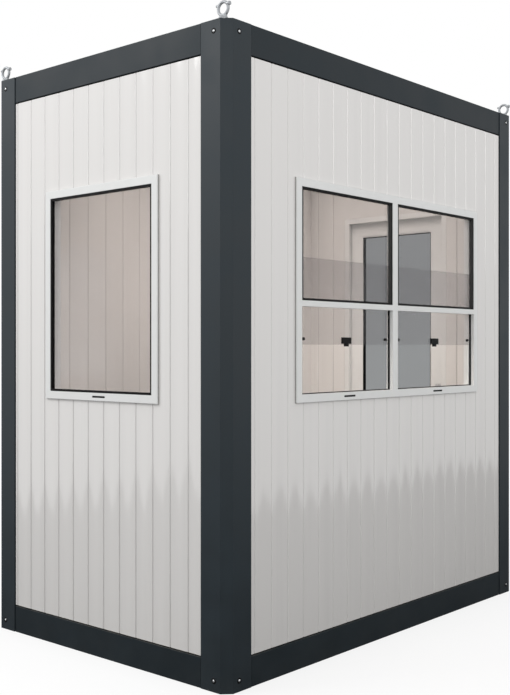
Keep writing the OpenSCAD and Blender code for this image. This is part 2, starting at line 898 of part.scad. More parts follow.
// Gasket rings on both sides of the door glass
module door_gasket() {
  d = (leaf_t - glass_t) / 2 - gasket_set;
  color(rubber_black)
    for (x = [leaf_x + gasket_set, door_pane_x + glass_t])
      translate([x, door_y, leaf_light_z])
        difference() {
          translate([0, -leaf_light_w / 2, 0]) cube([d, leaf_light_w, leaf_light_h]);
          translate([-1, -leaf_light_w / 2 + gasket_w, gasket_w])
            cube([d + 2, leaf_light_w - 2 * gasket_w, leaf_light_h - 2 * gasket_w]);
        }
}

// Lever on its back plate, standing out along +X
module lever() {
  translate([0, -lever_plate_w / 2, -lever_plate_down])
    cube([lever_plate_t, lever_plate_w, lever_plate_h]);
  rotate([0, 90, 0]) cylinder(r = lever_r, h = lever_off);
  translate([lever_off, 0, 0]) {
    sphere(r = lever_r);
    rotate([-90, 0, 0]) cylinder(r = lever_r, h = lever_len);
    translate([0, lever_len, 0]) sphere(r = lever_r);
  }
}

module door_handles() {
  z = floor_z + lever_z;
  color(zinc) {
    translate([leaf_out_x, lock_y, z]) lever();
    translate([leaf_x, lock_y, z]) mirror([1, 0, 0]) lever();
  }
}

// Moving half of each hinge: upper knuckle on the pin, and the plate on the leaf
module hinge_leaves() {
  h = barrel_h / 2 - knuckle_play;
  color(zinc)
    for (z = hinge_zs)
      translate([hinge_x, hinge_y, z + knuckle_play])
        difference() {
          union() {
            cylinder(r = barrel_r, h = h);
            translate([leaf_out_x - hinge_x, -hinge_link, 0])
              cube([hinge_x - leaf_out_x, hinge_link - leaf_gap / 2, h]);
            translate([leaf_out_x - hinge_x, -leaf_gap / 2 - hinge_plate_w, 0])
              cube([hinge_plate_t, hinge_plate_w, h]);
          }
          translate([0, 0, -1])
            cylinder(r = pin_r + pin_play, h = barrel_h);
        }
}

post(-1, -1);  // post_front_left
post(1, -1);  // post_front_right
post(-1, 1);  // post_back_left
post(1, 1);  // post_back_right
base_beam(0, half_w, long_run);  // base_beam_front
base_beam(180, half_w, long_run);  // base_beam_back
base_beam(-90, half_l, short_run);  // base_beam_left
base_beam(90, half_l, short_run);  // base_beam_right
roof_beam(0, half_w, long_run);  // roof_beam_front
roof_beam(180, half_w, long_run);  // roof_beam_back
roof_beam(-90, half_l, short_run);  // roof_beam_left
roof_beam(90, half_l, short_run);  // roof_beam_right
lifting_eye(-1, -1);  // lifting_eye_front_left
lifting_eye(1, -1);  // lifting_eye_front_right
lifting_eye(-1, 1);  // lifting_eye_back_left
lifting_eye(1, 1);  // lifting_eye_back_right
floor_joists();
floor_deck();
ceiling_board();
roof_panel();
front_wall();
back_wall();
left_wall();
door_wall_front();
door_wall_back();
door_wall_over();
wall_seals();
corner_casings();
side_window_frame();
side_window_gasket();
side_window_pane();
front_window_frame();
front_window_gasket();
front_window_panes();
sash(0);  // sash_left
sash(1);  // sash_right
sash_fittings();
jamb(1);  // door_jamb_hinge
jamb(-1);  // door_jamb_lock
door_head();
door_threshold();
hinge_pins();
door_leaf();
door_gasket();
door_pane();
door_handles();
hinge_leaves();
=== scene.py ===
import math

import bmesh
import bpy
from bpy.props import FloatProperty, FloatVectorProperty, IntProperty, PointerProperty
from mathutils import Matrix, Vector


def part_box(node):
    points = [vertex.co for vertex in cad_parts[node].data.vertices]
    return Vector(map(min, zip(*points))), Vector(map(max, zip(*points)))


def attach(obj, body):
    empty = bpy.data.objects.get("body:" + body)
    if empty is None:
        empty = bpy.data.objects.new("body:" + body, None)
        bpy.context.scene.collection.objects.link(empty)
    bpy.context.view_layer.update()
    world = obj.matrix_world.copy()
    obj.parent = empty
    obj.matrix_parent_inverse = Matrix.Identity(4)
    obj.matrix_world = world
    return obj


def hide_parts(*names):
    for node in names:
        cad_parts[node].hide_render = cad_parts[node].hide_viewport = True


bl_info = {
    "name": "Guard Booth Finish",
    "version": (1, 0, 0),
    "blender": (4, 5, 0),
    "location": "View3D > Sidebar > Guard Booth",
    "description": "Finishes, fastenings and studio for a steel-framed guard booth",
    "category": "Object",
}

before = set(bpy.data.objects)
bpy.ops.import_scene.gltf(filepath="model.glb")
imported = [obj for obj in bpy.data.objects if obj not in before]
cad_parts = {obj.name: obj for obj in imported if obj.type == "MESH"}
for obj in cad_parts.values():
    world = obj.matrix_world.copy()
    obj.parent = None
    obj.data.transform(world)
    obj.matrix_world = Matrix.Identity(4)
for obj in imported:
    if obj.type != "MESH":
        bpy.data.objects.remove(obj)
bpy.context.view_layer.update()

# The two bodies that pieces ride on
BOOTH = "booth"
DOOR = "door"

MM = 0.001

# The photo's height and focal length in pixels, and the width of the camera's sensor in millimetres
PHOTO_HEIGHT_PX = 695
FOCAL_PX = 1029.2
SENSOR_MM = 36

# Grooves of the outer panel skins: their spacing, and the first one of a wall, from its first post
GROOVE_PITCH = 0.1025
LONG_FIRST_GROOVE = 0.026
SHORT_FIRST_GROOVE = 0.074

# How much painted shade darkens the grooves on the long and on the short walls, as a share of the full
# painted shade
LONG_GROOVE_PAINTED_SHADE = 0.2
SHORT_GROOVE_PAINTED_SHADE = 0.5

# White part of the face of the rings round the door glass
GLAZING_BEAD = 0.006

# How far painted light greys the rubber in the sides of the fixed lights, from black to the profile's white
SIDE_PAINTED_LIGHT_SHARE = 0.07

# Radius to which the edges of a finish are rounded, and depth of its surface texture
EDGES = {"steel": 0.003, "roof": 0.003, "profile": 0.0025, "rubber": 0.001, "zinc": 0.0015}
TEXTURES = {
    "steel": 0.00006, "roof": 0.0006, "profile": 0.00002, "rubber": 0.00003, "zinc": 0.00005,
    "sealant": 0.0002, "vinyl": 0.0001,
}

# Rubbed edges of the frame's coat: its own colour times the first number, plus the second
WORN_GAIN = 2.2
WORN_LIFT = 0.02

# Dark grey that is mixed into the darker crystals of zinc plate
ZINC_SHADE = (0.1, 0.1, 0.11, 1.0)

# Lifting eyes: distance at which loose corners are joined, grid of the blended shape, and the strength and
# number of the passes that soften it
MERGE_DISTANCE = 0.00005
EYE_GRID = 0.0011
EYE_SOFTNESS = 0.5
EYE_PASSES = 8

# Width of a sealing bead's outer face, as a share of its foot
BEAD_CREST = 0.4

# Weld beads: radius of a scale as a share of the bead's width, and the spread and seed of the scales' sizes
WELD_SCALE_SHARE = 0.55
WELD_SPREAD = (0.85, 1.15)
WELD_SEED = 7

# Heights of the post bolts' black washers, which also stand in for painted shade round the bolt heads, of the
# roof screws, and of the screws of lever plates and hinges
WASHER_AND_SHADE_HEIGHT = 0.0012
ROOF_SCREW_HEIGHT = 0.003
SCREW_HEIGHT = 0.0015

# Radius of a screw's washer as a share of its head's, on the roof and elsewhere, and the corners of both
ROOF_WASHER_SHARE = 1.5
WASHER_SHARE = 1.05
SCREW_SIDES = 16

# Roof screws: spacing (that of the ribs), least distance from the roof's ends, and distance from its long
# edges
ROOF_SCREW_PITCH = 0.2
ROOF_SCREW_END = 0.15
ROOF_SCREW_EDGE = 0.12

# Lever plates: thickness, and how far the screws stand in from their side and from their ends
LEVER_PLATE = 0.008
LEVER_SCREW_IN = 0.015
LEVER_SCREW_END = 0.014

# Hinges: height of a half, gap between two halves, thickness of a plate, and how far the screws stand from
# the middle of a half and in from the edge of the plate on the leaf and on the frame
HINGE_HALF = 0.0445
HINGE_GAP = 0.0005
HINGE_PLATE = 0.003
HINGE_SCREW_UP = 0.012
LEAF_SCREW_IN = 0.015
FRAME_SCREW_IN = 0.011

# Lamps: what the two outer ones look at, and where each stands and how large it is
LAMP_TARGET = (0.0, 0.0, 1.6)
KEY_PLACE = (-6.0, 4.6, 6.2)
KEY_SIZE = (5.0, 3.0)
FILL_PLACE = (-4.8, -6.2, 4.2)
FILL_SIZE = (3.5, 3.5)
ROOM_X = 0.1
ROOM_DROP = 0.01
ROOM_SIZE = (1.8, 1.2)
ROOM_COLOUR = (1.0, 0.9, 0.835)
ROOM_SPREAD = math.radians(125)

# Studio floor: how far it lies under the booth, and its grey for bounced light and for the camera
FLOOR_DROP = 0.0005
GROUND_GREY = 0.12
FLOOR_GREY = 0.92

# Share of plain white in the floor beside the booth, and the distances from its middle where it grows to all
NEAR_WHITE = 0.8
FADE_REACH = (1.4, 2.6)

SIDES = {"front": (0, -1), "back": (0, 1), "left": (-1, 0), "right": (1, 0)}
CORNERS = {
    (-1, -1): "front_left",
    (-1, 1): "back_left",
    (1, -1): "front_right",
    (1, 1): "back_right",
}


def linear(r, g, b):
    """A colour seen on screen as 0-255 values, as the linear values that shaders take."""

    def channel(value):
        value /= 255
        return value / 12.92 if value <= 0.04045 else ((value + 0.055) / 1.055) ** 2.4

    return channel(r), channel(g), channel(b)


def colour_property(name, description, rgb):
    return FloatVectorProperty(
        name=name, description=description, default=linear(*rgb), subtype="COLOR", size=3, min=0, max=1
    )


def length_property(name, description, millimetres):
    return FloatProperty(
        name=name, description=description, default=millimetres * MM, subtype="DISTANCE", unit="LENGTH", min=0
    )


def share_property(name, description, default):
    return FloatProperty(name=name, description=description, default=default, subtype="FACTOR", min=0, max=1)


def angle_property(name, description, degrees):
    return FloatProperty(
        name=name, description=description, default=math.radians(degrees), subtype="ANGLE", unit="ROTATION"
    )


def power_property(name, description, watts):
    return FloatProperty(name=name, description=description, default=watts, unit="POWER", min=0)


class BOOTH_PG_finishes(bpy.types.PropertyGroup):
    """Colours and wear of the booth's finishes"""

    steel: colour_property("Frame steel", "Powder coat of posts, beams and joists", (31, 41, 47))
    panel: colour_property("Wall panel", "Coil coating of the sandwich panels", (226, 224, 222))
    profile: colour_property("Window profile", "White profiles of windows and door", (228, 229, 228))
    glass: colour_property("Window glass", "Tint of the window panes", (222, 221, 222))
    door_glass: colour_property("Door glass", "Tint of the grey door pane", (146, 148, 149))
    rubber: colour_property("Rubber", "Gaskets, seals and black fittings", (9, 9, 10))
    sealant: colour_property("Sealant", "Bead between the window frames and the panels", (150, 148, 145))
    zinc: colour_property("Zinc", "Plated steel of hinges, lever and bolts", (222, 224, 226))
    forged_zinc: colour_property("Forged zinc", "Plated steel of the forged lifting eyes", (170, 173, 176))
    vinyl: colour_property("Floor vinyl", "Covering of the floor deck", (138, 141, 139))
    dust: colour_property("Dust", "Dust that lies on upward faces and low down", (170, 163, 150))
    dust_amount: share_property("Dust amount", "How much of the dust shows", 0.35)
    edge_wear: share_property("Edge wear", "How bright the coat is rubbed along edges", 0.12)
    bow: angle_property("Long panel bow", "How far the long walls' skins lean between two grooves", 0.7)
    short_bow: angle_property("Short panel bow", "The same for the short walls, leaning the other way", -1.1)
    lean: angle_property("Panel lean", "How far the panel skins lean at random, at most", 0.7)


class BOOTH_PG_fastenings(bpy.types.PropertyGroup):
    """Sizes of the small fastenings"""

    bolt_radius: length_property("Bolt head radius", "Radius of the round post bolts", 5.5)
    bolt_height: length_property("Bolt head height", "Height of the round post bolts", 3.5)
    # The black washers are partly painted shade: they make the dark ring round each bolt head
    washer_and_shade_radius: length_property("Washer radius", "Radius of the black washers under the post bolts", 11.5)
    bolt_end: length_property("Bolt to post end", "Distance of a post bolt from the post's end", 43.5)
    screw_radius: length_property("Screw radius", "Radius of the hinge and plate screws", 4.0)
    roof_screw_radius: length_property("Roof screw radius", "Radius of the sealing washers on the roof", 7.2)
    bead_width: length_property("Bead width", "Width of the sealing bead round a window frame", 1.2)
    bead_depth: length_property("Bead depth", "How far that bead stands out from the panel", 4.0)
    weld_width: length_property("Weld width", "Width of the weld bead round a lifting eye", 5.0)
    weld_ripples: IntProperty(name="Weld ripples", description="Ripples in one weld bead", default=44, min=8)
    # Joint rods bridge each beam's end joint; their black rubber is painted shade for the joint's shadow
    rod_width: length_property("Joint rod width", "Width of the rod between a beam's end and a post", 3.98)
    rod_depth: length_property("Joint rod depth", "Size of that rod from front to back", 5.0)
    rod_set: length_property("Joint rod set", "How far its middle lies behind the beam's face", 4.0)


class BOOTH_PG_studio(bpy.types.PropertyGroup):
    """Camera, lamps and floor"""

    camera_place: FloatVectorProperty(
        name="Camera place", description="Where the camera stands", default=(-4.0293, -3.4265, 1.3326),
        subtype="XYZ", unit="LENGTH",
    )
    camera_heading: angle_property("Camera heading", "Turn of the level camera about the vertical", -48.65)
    floor_corner: FloatVectorProperty(
        name="Floor corner", description="Near corner of the studio floor, whose edges the panels mirror",
        default=(-7.6, -3.8), size=2, subtype="XYZ", unit="LENGTH",
    )
    floor_length: length_property("Floor length", "Size of the studio floor along X", 15200)
    floor_width: length_property("Floor width", "Size of the studio floor along Y", 7600)
    key_power: power_property("Key power", "Power of the large side lamp", 287)
    fill_power: power_property("Fill power", "Power of the large front lamp", 90)
    room_power: power_property("Room power", "Power of the lamp under the ceiling", 19.7)
    sky: FloatProperty(name="Sky", description="Strength of the surrounding light", default=0.85, min=0)


def finishes():
    return bpy.context.scene.booth_finishes


def fastenings():
    return bpy.context.scene.booth_fastenings


def studio():
    return bpy.context.scene.booth_studio


# Node tree helpers

def add(tree, kind, **settings):
    """A new node with its properties set by keyword."""
    node = tree.nodes.new(kind)
    for name, value in settings.items():
        setattr(node, name, value)
    return node


def put(tree, socket, value):
    """Feeds a socket from another socket, or sets its own value."""
    if isinstance(value, bpy.types.NodeSocket):
        tree.links.new(value, socket)
    else:
        socket.default_value = value


def wired(tree, kind, inputs, **settings):
    """A new node with its inputs, by name or number, fed from sockets or set to values."""
    node = add(tree, kind, **settings)
    for name, value in inputs.items():
        put(tree, node.inputs[name], value)
    return node


def math_node(tree, operation, *values, clamp=False):
    node = add(tree, "ShaderNodeMath", operation=operation, use_clamp=clamp)
    for socket, value in zip(node.inputs, values):
        put(tree, socket, value)
    return node.outputs[0]


def times(tree, first, second, clamp=False):
    return math_node(tree, "MULTIPLY", first, second, clamp=clamp)


def vector_node(tree, operation, *values):
    node = add(tree, "ShaderNodeVectorMath", operation=operation)
    for socket, value in zip(node.inputs, values):
        put(tree, socket, value)
    return node.outputs["Value"] if operation in {"DOT_PRODUCT", "LENGTH"} else node.outputs[0]


def ramp(tree, value, low, high, to_low=0.0, to_high=1.0):
    """A smooth step from low to high."""
    ends = {"Value": value, "From Min": low, "From Max": high, "To Min": to_low, "To Max": to_high}
    return wired(tree, "ShaderNodeMapRange", ends, interpolation_type="SMOOTHSTEP").outputs["Result"]


def noise(tree, vector, scale, detail=2.0, roughness=0.5):
    inputs = {"Vector": vector, "Scale": scale, "Detail": detail, "Roughness": roughness}
    return wired(tree, "ShaderNodeTexNoise", inputs).outputs["Fac"]


def mix(tree, share, first, second):
    return wired(tree, "ShaderNodeMix", {0: share, 6: first, 7: second}, data_type="RGBA").outputs[2]


def place(tree):
    return add(tree, "ShaderNodeTexCoord").outputs["Object"]


def stretched(tree, vector, scale):
    return vector_node(tree, "MULTIPLY", vector, scale)


def parts_of(tree, vector):
    """The X, Y and Z outputs of a vector."""
    return wired(tree, "ShaderNodeSeparateXYZ", {0: vector}).outputs


def surface_normal(tree):
    return add(tree, "ShaderNodeNewGeometry").outputs["Normal"]


def rgba(colour):
    return (*colour[:3], 1.0)


def scaled(colour, factor):
    """A colour made darker or lighter by a factor."""
    return rgba([c * factor for c in colour])


def shader_group(name, inputs, outputs):
    """An empty shader node group with its sockets, and its two end nodes."""
    tree = bpy.data.node_groups.new(name, "ShaderNodeTree")
    for socket_name, kind, default in inputs:
        socket = tree.interface.new_socket(socket_name, in_out="INPUT", socket_type=kind)
        if default is not None:
            socket.default_value = default
    for socket_name, kind in outputs:
        tree.interface.new_socket(socket_name, in_out="OUTPUT", socket_type=kind)
    return tree, tree.nodes.new("NodeGroupInput").outputs, tree.nodes.new("NodeGroupOutput").inputs


def use_group(tree, name, **values):
    """Places a group in a material, with inputs given by name (spaces as underscores)."""
    node = add(tree, "ShaderNodeGroup", node_tree=bpy.data.node_groups[name])
    for key, value in values.items():
        put(tree, node.inputs[key.replace("_", " ")], value)
    return node.outputs


# Effects shared by the materials

FLOAT = "NodeSocketFloat"


def make_edge_wear():
    """Mask of edges, from how far a rounded normal turns away from the flat one."""
    tree, given, result = shader_group(
        "Edge Wear", [("Radius", FLOAT, 0.004), ("Patchiness", FLOAT, 30.0)], [("Mask", FLOAT)]
    )
    same = vector_node(tree, "DOT_PRODUCT", rounded(tree, given["Radius"]), surface_normal(tree))
    turn = math_node(tree, "SUBTRACT", 1.0, same)
    edge = ramp(tree, turn, 0.02, 0.25)
    patches = ramp(tree, noise(tree, place(tree), given["Patchiness"], 4.0, 0.6), 0.42, 0.62)
    put(tree, result["Mask"], times(tree, edge, patches, clamp=True))


def make_dust():
    """Mask of dust: on faces that look up, and fading out above the ground."""
    tree, given, result = shader_group(
        "Dust",
        [("Reach", FLOAT, 0.5), ("Up Share", FLOAT, 0.8), ("Low Share", FLOAT, 0.5)],
        [("Mask", FLOAT)],
    )
    spot = place(tree)
    height = math_node(tree, "DIVIDE", parts_of(tree, spot)["Z"], given["Reach"])
    low = math_node(tree, "POWER", math_node(tree, "SUBTRACT", 1.0, height, clamp=True), 2.0)
    low = times(tree, low, given["Low Share"])
    up = ramp(tree, vector_node(tree, "DOT_PRODUCT", surface_normal(tree), (0, 0, 1)), 0.5, 0.95)
    up = times(tree, up, given["Up Share"])
    clouds = ramp(tree, noise(tree, spot, 9.0, 5.0, 0.65), 0.3, 0.75, 0.25, 1.0)
    both = math_node(tree, "MAXIMUM", low, up)
    put(tree, result["Mask"], times(tree, both, clouds, clamp=True))


def make_orange_peel():
    """Height of the fine waves of a sprayed or powdered coat, with slow larger ones."""
    tree, given, result = shader_group(
        "Orange Peel",
        [("Fine Scale", FLOAT, 420.0), ("Broad Scale", FLOAT, 6.0)],
        [("Height", FLOAT), ("Cloud", FLOAT)],
    )
    spot = place(tree)
    put(tree, result["Height"], noise(tree, spot, given["Fine Scale"], 2.0))
    put(tree, result["Cloud"], noise(tree, spot, given["Broad Scale"], 3.0))


def make_skin_waves():
    """Normal of a thin roll-formed skin, which bows between its grooves and leans in and out of plumb."""
    tree, given, result = shader_group(
        "Skin Waves",
        [
            ("Bow", FLOAT, 0.01), ("Lean", FLOAT, 0.01), ("Pitch", FLOAT, GROOVE_PITCH),
            ("First Groove", FLOAT, 0.0),
        ],
        [("Normal", "NodeSocketVector"), ("Streaks", FLOAT)],
    )
    spot = place(tree)
    parts = parts_of(tree, spot)
    along = math_node(tree, "ADD", parts["X"], parts["Y"])
    from_groove = math_node(tree, "SUBTRACT", along, given["First Groove"])
    turns = math_node(tree, "DIVIDE", from_groove, given["Pitch"])
    wave = math_node(tree, "COSINE", times(tree, turns, math.tau))
    bow = times(tree, wave, given["Bow"])
    narrow = noise(tree, stretched(tree, spot, (38.0, 38.0, 1.4)), 1.0, 2.0, 0.6)
    wide = noise(tree, stretched(tree, spot, (6.0, 6.0, 0.8)), 1.0, 1.0)
    # The two noises add up to 1 give or take a third, which the factor of 3 below makes up for
    uneven = math_node(tree, "SUBTRACT", math_node(tree, "ADD", narrow, wide), 1.0)
    lean = times(tree, uneven, times(tree, given["Lean"], 3.0))
    upright = add(tree, "ShaderNodeCombineXYZ")
    put(tree, upright.inputs["Z"], math_node(tree, "ADD", bow, lean))
    leant = vector_node(tree, "ADD", surface_normal(tree), upright.outputs[0])
    put(tree, result["Normal"], vector_node(tree, "NORMALIZE", leant))
    put(tree, result["Streaks"], noise(tree, stretched(tree, spot, (26.0, 26.0, 0.5)), 1.0, 4.0, 0.6))


def make_groove_painted_shade():
    """Mask of painted shade in the grooves, by how deep a point lies under the panel skins."""
    tree, given, result = shader_group(
        "Groove Painted Shade",
        [
            ("Skin X", FLOAT, 1.145), ("Skin Y", FLOAT, 0.745), ("Thickness", FLOAT, 0.05),
            ("Depth", FLOAT, 0.0025),
        ],
        [("Mask", FLOAT)],
    )
    spot = parts_of(tree, place(tree))
    from_x = math_node(tree, "SUBTRACT", given["Skin X"], math_node(tree, "ABSOLUTE", spot["X"]))
    from_y = math_node(tree, "SUBTRACT", given["Skin Y"], math_node(tree, "ABSOLUTE", spot["Y"]))
    under = math_node(tree, "MINIMUM", from_x, from_y)
    to_inside = math_node(tree, "SUBTRACT", given["Thickness"], under)
    depth = math_node(tree, "MINIMUM", under, to_inside)
    share = math_node(tree, "DIVIDE", depth, given["Depth"])
    # Points far deeper than a groove are cut edges
    inside = math_node(tree, "LESS_THAN", share, 1.5)
    put(tree, result["Mask"], times(tree, ramp(tree, share, 0.15, 0.9), inside))


def make_spangle():
    """Crystal pattern of zinc plate: patches of slightly different grey and gloss."""
    tree, given, result = shader_group(
        "Spangle", [("Scale", FLOAT, 90.0)], [("Tone", FLOAT), ("Gloss", FLOAT)]
    )
    spot = place(tree)
    cells = wired(tree, "ShaderNodeTexVoronoi", {"Vector": spot, "Scale": given["Scale"]})
    parts = wired(tree, "ShaderNodeSeparateColor", {0: cells.outputs["Color"]})
    put(tree, result["Tone"], ramp(tree, parts.outputs[0], 0.0, 1.0, 0.82, 1.0))
    put(tree, result["Gloss"], ramp(tree, noise(tree, spot, 160.0, 3.0), 0.3, 0.7, 0.22, 0.42))


def make_effects():
    make_edge_wear()
    make_dust()
    make_orange_peel()
    make_skin_waves()
    make_groove_painted_shade()
    make_spangle()


# Materials

def new_material(name):
    """A material that holds only a Principled shader and its output."""
    material = bpy.data.materials.new(name)
    material.use_nodes = True
    tree = material.node_tree
    tree.nodes.clear()
    shader = add(tree, "ShaderNodeBsdfPrincipled")
    output = add(tree, "ShaderNodeOutputMaterial")
    tree.links.new(shader.outputs[0], output.inputs["Surface"])
    return material, tree, shader


def mix_shaders(tree, share, first, second):
    """Leads a mix of two shaders to the material's output."""
    either = add(tree, "ShaderNodeMixShader")
    put(tree, either.inputs[0], share)
    tree.links.new(first.outputs[0], either.inputs[1])
    tree.links.new(second.outputs[0], either.inputs[2])
    tree.links.new(either.outputs[0], tree.nodes["Material Output"].inputs["Surface"])


def set_shader(shader, **values):
    for key, value in values.items():
        shader.inputs[key.replace("_", " ")].default_value = value


def rounded(tree, radius):
    """Normal of an edge rounded by the radius."""
    return wired(tree, "ShaderNodeBevel", {"Radius": radius}, samples=4).outputs[0]


def textured(tree, height, key):
    """Normal of a finish: its surface texture, over edges that are rounded if the finish has a radius."""
    node = wired(tree, "ShaderNodeBump", {"Height": height, "Distance": TEXTURES[key]})
    if key in EDGES:
        put(tree, node.inputs["Normal"], rounded(tree, EDGES[key]))
    return node.outputs[0]


def with_dust(tree, colour, **sizes):
    mask = use_group(tree, "Dust", **sizes)["Mask"]
    share = times(tree, mask, finishes().dust_amount)
    return mix(tree, share, colour, rgba(finishes().dust))


def frame_steel(name, depth, gloss):
    """Dark powder coat with orange peel, rubbed edges and dust low down; a depth under 1 darkens it as
    painted shade.
    """
    material, tree, shader = new_material(name)
    base = scaled(finishes().steel, depth)
    peel = use_group(tree, "Orange Peel")
    toned = mix(tree, ramp(tree, peel["Cloud"], 0.3, 0.7), scaled(base, 0.9), scaled(base, 1.1))
    wear = use_group(tree, "Edge Wear", Radius=0.005)["Mask"]
    share = times(tree, wear, finishes().edge_wear)
    worn = mix(tree, share, toned, rgba([c * WORN_GAIN + WORN_LIFT for c in base]))
    put(tree, shader.inputs["Base Color"], with_dust(tree, worn, Reach=0.35, Up_Share=0.7, Low_Share=0.06))
    put(tree, shader.inputs["Roughness"], ramp(tree, peel["Cloud"], 0.3, 0.7, 0.5, 0.58))
    put(tree, shader.inputs["Normal"], textured(tree, peel["Height"], "steel"))
    set_shader(shader, Specular_IOR_Level=gloss)
    return material


def wall_panel(name, groove_painted_shade, bow, first_groove):
    """Pale coil coating: painted shade in the grooves, faint rain streaks, a skin that bends its reflections.
    """
    material, tree, shader = new_material(name)
    base = rgba(finishes().panel)
    waves = use_group(tree, "Skin Waves", Bow=bow, Lean=finishes().lean, First_Groove=first_groove)
    streaked = mix(tree, ramp(tree, waves["Streaks"], 0.45, 0.8, 0.0, 0.5), base, scaled(base, 0.94))
    low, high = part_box("back_wall")
    groove = use_group(
        tree, "Groove Painted Shade", Skin_X=-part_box("left_wall")[0].x, Skin_Y=high.y, Thickness=high.y - low.y
    )["Mask"]
    # Painted shade: the grooves are darkened towards 0.6 of the panel's colour
    shaded = mix(tree, times(tree, groove, groove_painted_shade), streaked, scaled(base, 0.6))
    put(tree, shader.inputs["Base Color"], with_dust(tree, shaded, Reach=0.5, Up_Share=0.5, Low_Share=0.2))
    put(tree, shader.inputs["Normal"], waves["Normal"])
    set_shader(shader, Roughness=0.1, Specular_IOR_Level=1.0)
    return material


def long_panel():
    """Coating of the long walls, whose first groove is measured from the left posts."""
    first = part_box("post_front_left")[1].x + LONG_FIRST_GROOVE
    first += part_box("front_wall")[0].y
    return wall_panel("long_wall_coat", LONG_GROOVE_PAINTED_SHADE, finishes().bow, first)


def short_panel():
    """Coating of the short walls, whose first groove is measured from the front posts."""
    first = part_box("post_front_left")[1].y + SHORT_FIRST_GROOVE
    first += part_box("left_wall")[0].x
    return wall_panel("short_wall_coat", SHORT_GROOVE_PAINTED_SHADE, finishes().short_bow, first)


def roof_coat():
    """The panel coating on the roof, with more dust and dried rain marks."""
    material, tree, shader = new_material("roof_panel_coat")
    base = rgba(finishes().panel)
    marks = noise(tree, place(tree), 5.0, 6.0, 0.62)
    stained = mix(tree, ramp(tree, marks, 0.45, 0.7, 0.0, 0.25), base, rgba(finishes().dust))
    put(tree, shader.inputs["Base Color"], with_dust(tree, stained, Up_Share=0.8))
    put(tree, shader.inputs["Roughness"], ramp(tree, marks, 0.3, 0.7, 0.4, 0.6))
    put(tree, shader.inputs["Normal"], textured(tree, marks, "roof"))
    return material


def white_profile():
    """Smooth white profile of windows and door, with soft edges and a faintly cloudy tone."""
    material, tree, shader = new_material("white_profile")
    base = rgba(finishes().profile)
    clouds = noise(tree, place(tree), 14.0, 4.0, 0.6)
    toned = mix(tree, ramp(tree, clouds, 0.4, 0.8, 0.0, 0.35), base, scaled(base, 0.92))
    put(tree, shader.inputs["Base Color"], with_dust(tree, toned, Up_Share=0.5, Low_Share=0.0))
    fine = noise(tree, place(tree), 700.0, 2.0)
    put(tree, shader.inputs["Roughness"], ramp(tree, clouds, 0.3, 0.7, 0.28, 0.36))
    put(tree, shader.inputs["Normal"], textured(tree, fine, "profile"))
    return material


def clear_glass(name, tint, roughness=0.0):
    """Sheet glass: refracts for the eye and lets lamp light straight through."""
    material, tree, shader = new_material(name)
    set_shader(shader, Transmission_Weight=1.0, IOR=1.2, Roughness=roughness)
    smears = noise(tree, place(tree), 3.5, 5.0, 0.65)
    toned = mix(tree, ramp(tree, smears, 0.35, 0.75), rgba(tint), scaled(tint, 0.975))
    put(tree, shader.inputs["Base Color"], toned)
    clear = add(tree, "ShaderNodeBsdfTransparent")
    # Light passes both faces of a pane, so each face takes the root of the tint
    clear.inputs["Color"].default_value = rgba([c**0.5 for c in tint])
    mix_shaders(tree, add(tree, "ShaderNodeLightPath").outputs["Is Shadow Ray"], shader, clear)
    return material


def black_rubber(name="black_rubber", white_share=None):
    """Matt black rubber and moulded plastic with a dry bloom; white_share makes the mask of what is white."""
    material, tree, shader = new_material(name)
    base = rgba(finishes().rubber)
    bloom = noise(tree, place(tree), 60.0, 4.0, 0.6)
    black = mix(tree, ramp(tree, bloom, 0.4, 0.8, 0.0, 0.25), base, rgba([c + 0.006 for c in base]))
    if white_share:
        black = mix(tree, white_share(tree), black, rgba(finishes().profile))
    put(tree, shader.inputs["Base Color"], black)
    put(tree, shader.inputs["Roughness"], ramp(tree, bloom, 0.3, 0.7, 0.5, 0.7))
    fine = noise(tree, place(tree), 900.0)
    put(tree, shader.inputs["Normal"], textured(tree, fine, "rubber"))
    set_shader(shader, Specular_IOR_Level=0.15)
    return material


def guide_rubber():
    """The rubber of the service window: painted light greys it in the sides of the fixed lights; white behind
    the sashes.
    """
    sash_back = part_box("sash_left")[1].y
    lights_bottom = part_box("front_window_panes")[0].z

    def light_share(tree):
        spot = parts_of(tree, place(tree))
        behind = math_node(tree, "GREATER_THAN", spot["Y"], sash_back)
        turned = math_node(tree, "ABSOLUTE", parts_of(tree, surface_normal(tree))["X"])
        sides = math_node(tree, "GREATER_THAN", turned, 0.5)
        above = math_node(tree, "GREATER_THAN", spot["Z"], lights_bottom)
        # Painted light: faces turned along X in the fixed lights are greyed towards the profile's white
        greyed = times(tree, times(tree, sides, above), SIDE_PAINTED_LIGHT_SHARE)
        return math_node(tree, "MAXIMUM", behind, greyed)

    return black_rubber("guide_rubber", light_share)


def door_rubber():
    """The rings round the door glass: a black lip in a white glazing bead."""
    low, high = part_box("door_gasket")
    centre = (low + high) / 2
    lip = (high - low) / 2 - Vector((0, GLAZING_BEAD, GLAZING_BEAD))

    def outside(tree):
        from_centre = vector_node(tree, "SUBTRACT", place(tree), centre)
        spot = parts_of(tree, vector_node(tree, "ABSOLUTE", from_centre))
        beside = math_node(tree, "GREATER_THAN", spot["Y"], lip.y)
        above = math_node(tree, "GREATER_THAN", spot["Z"], lip.z)
        return math_node(tree, "MAXIMUM", beside, above)

    return black_rubber("door_rubber", outside)


def sealant():
    """Grey joint sealant, a little uneven along its run."""
    material, tree, shader = new_material("grey_sealant")
    base = rgba(finishes().sealant)
    lumps = noise(tree, place(tree), 80.0, 3.0)
    uneven = mix(tree, ramp(tree, lumps, 0.35, 0.7), base, scaled(base, 0.85))
    put(tree, shader.inputs["Base Color"], uneven)
    put(tree, shader.inputs["Roughness"], ramp(tree, lumps, 0.3, 0.7, 0.45, 0.6))
    put(tree, shader.inputs["Normal"], textured(tree, lumps, "sealant"))
    return material


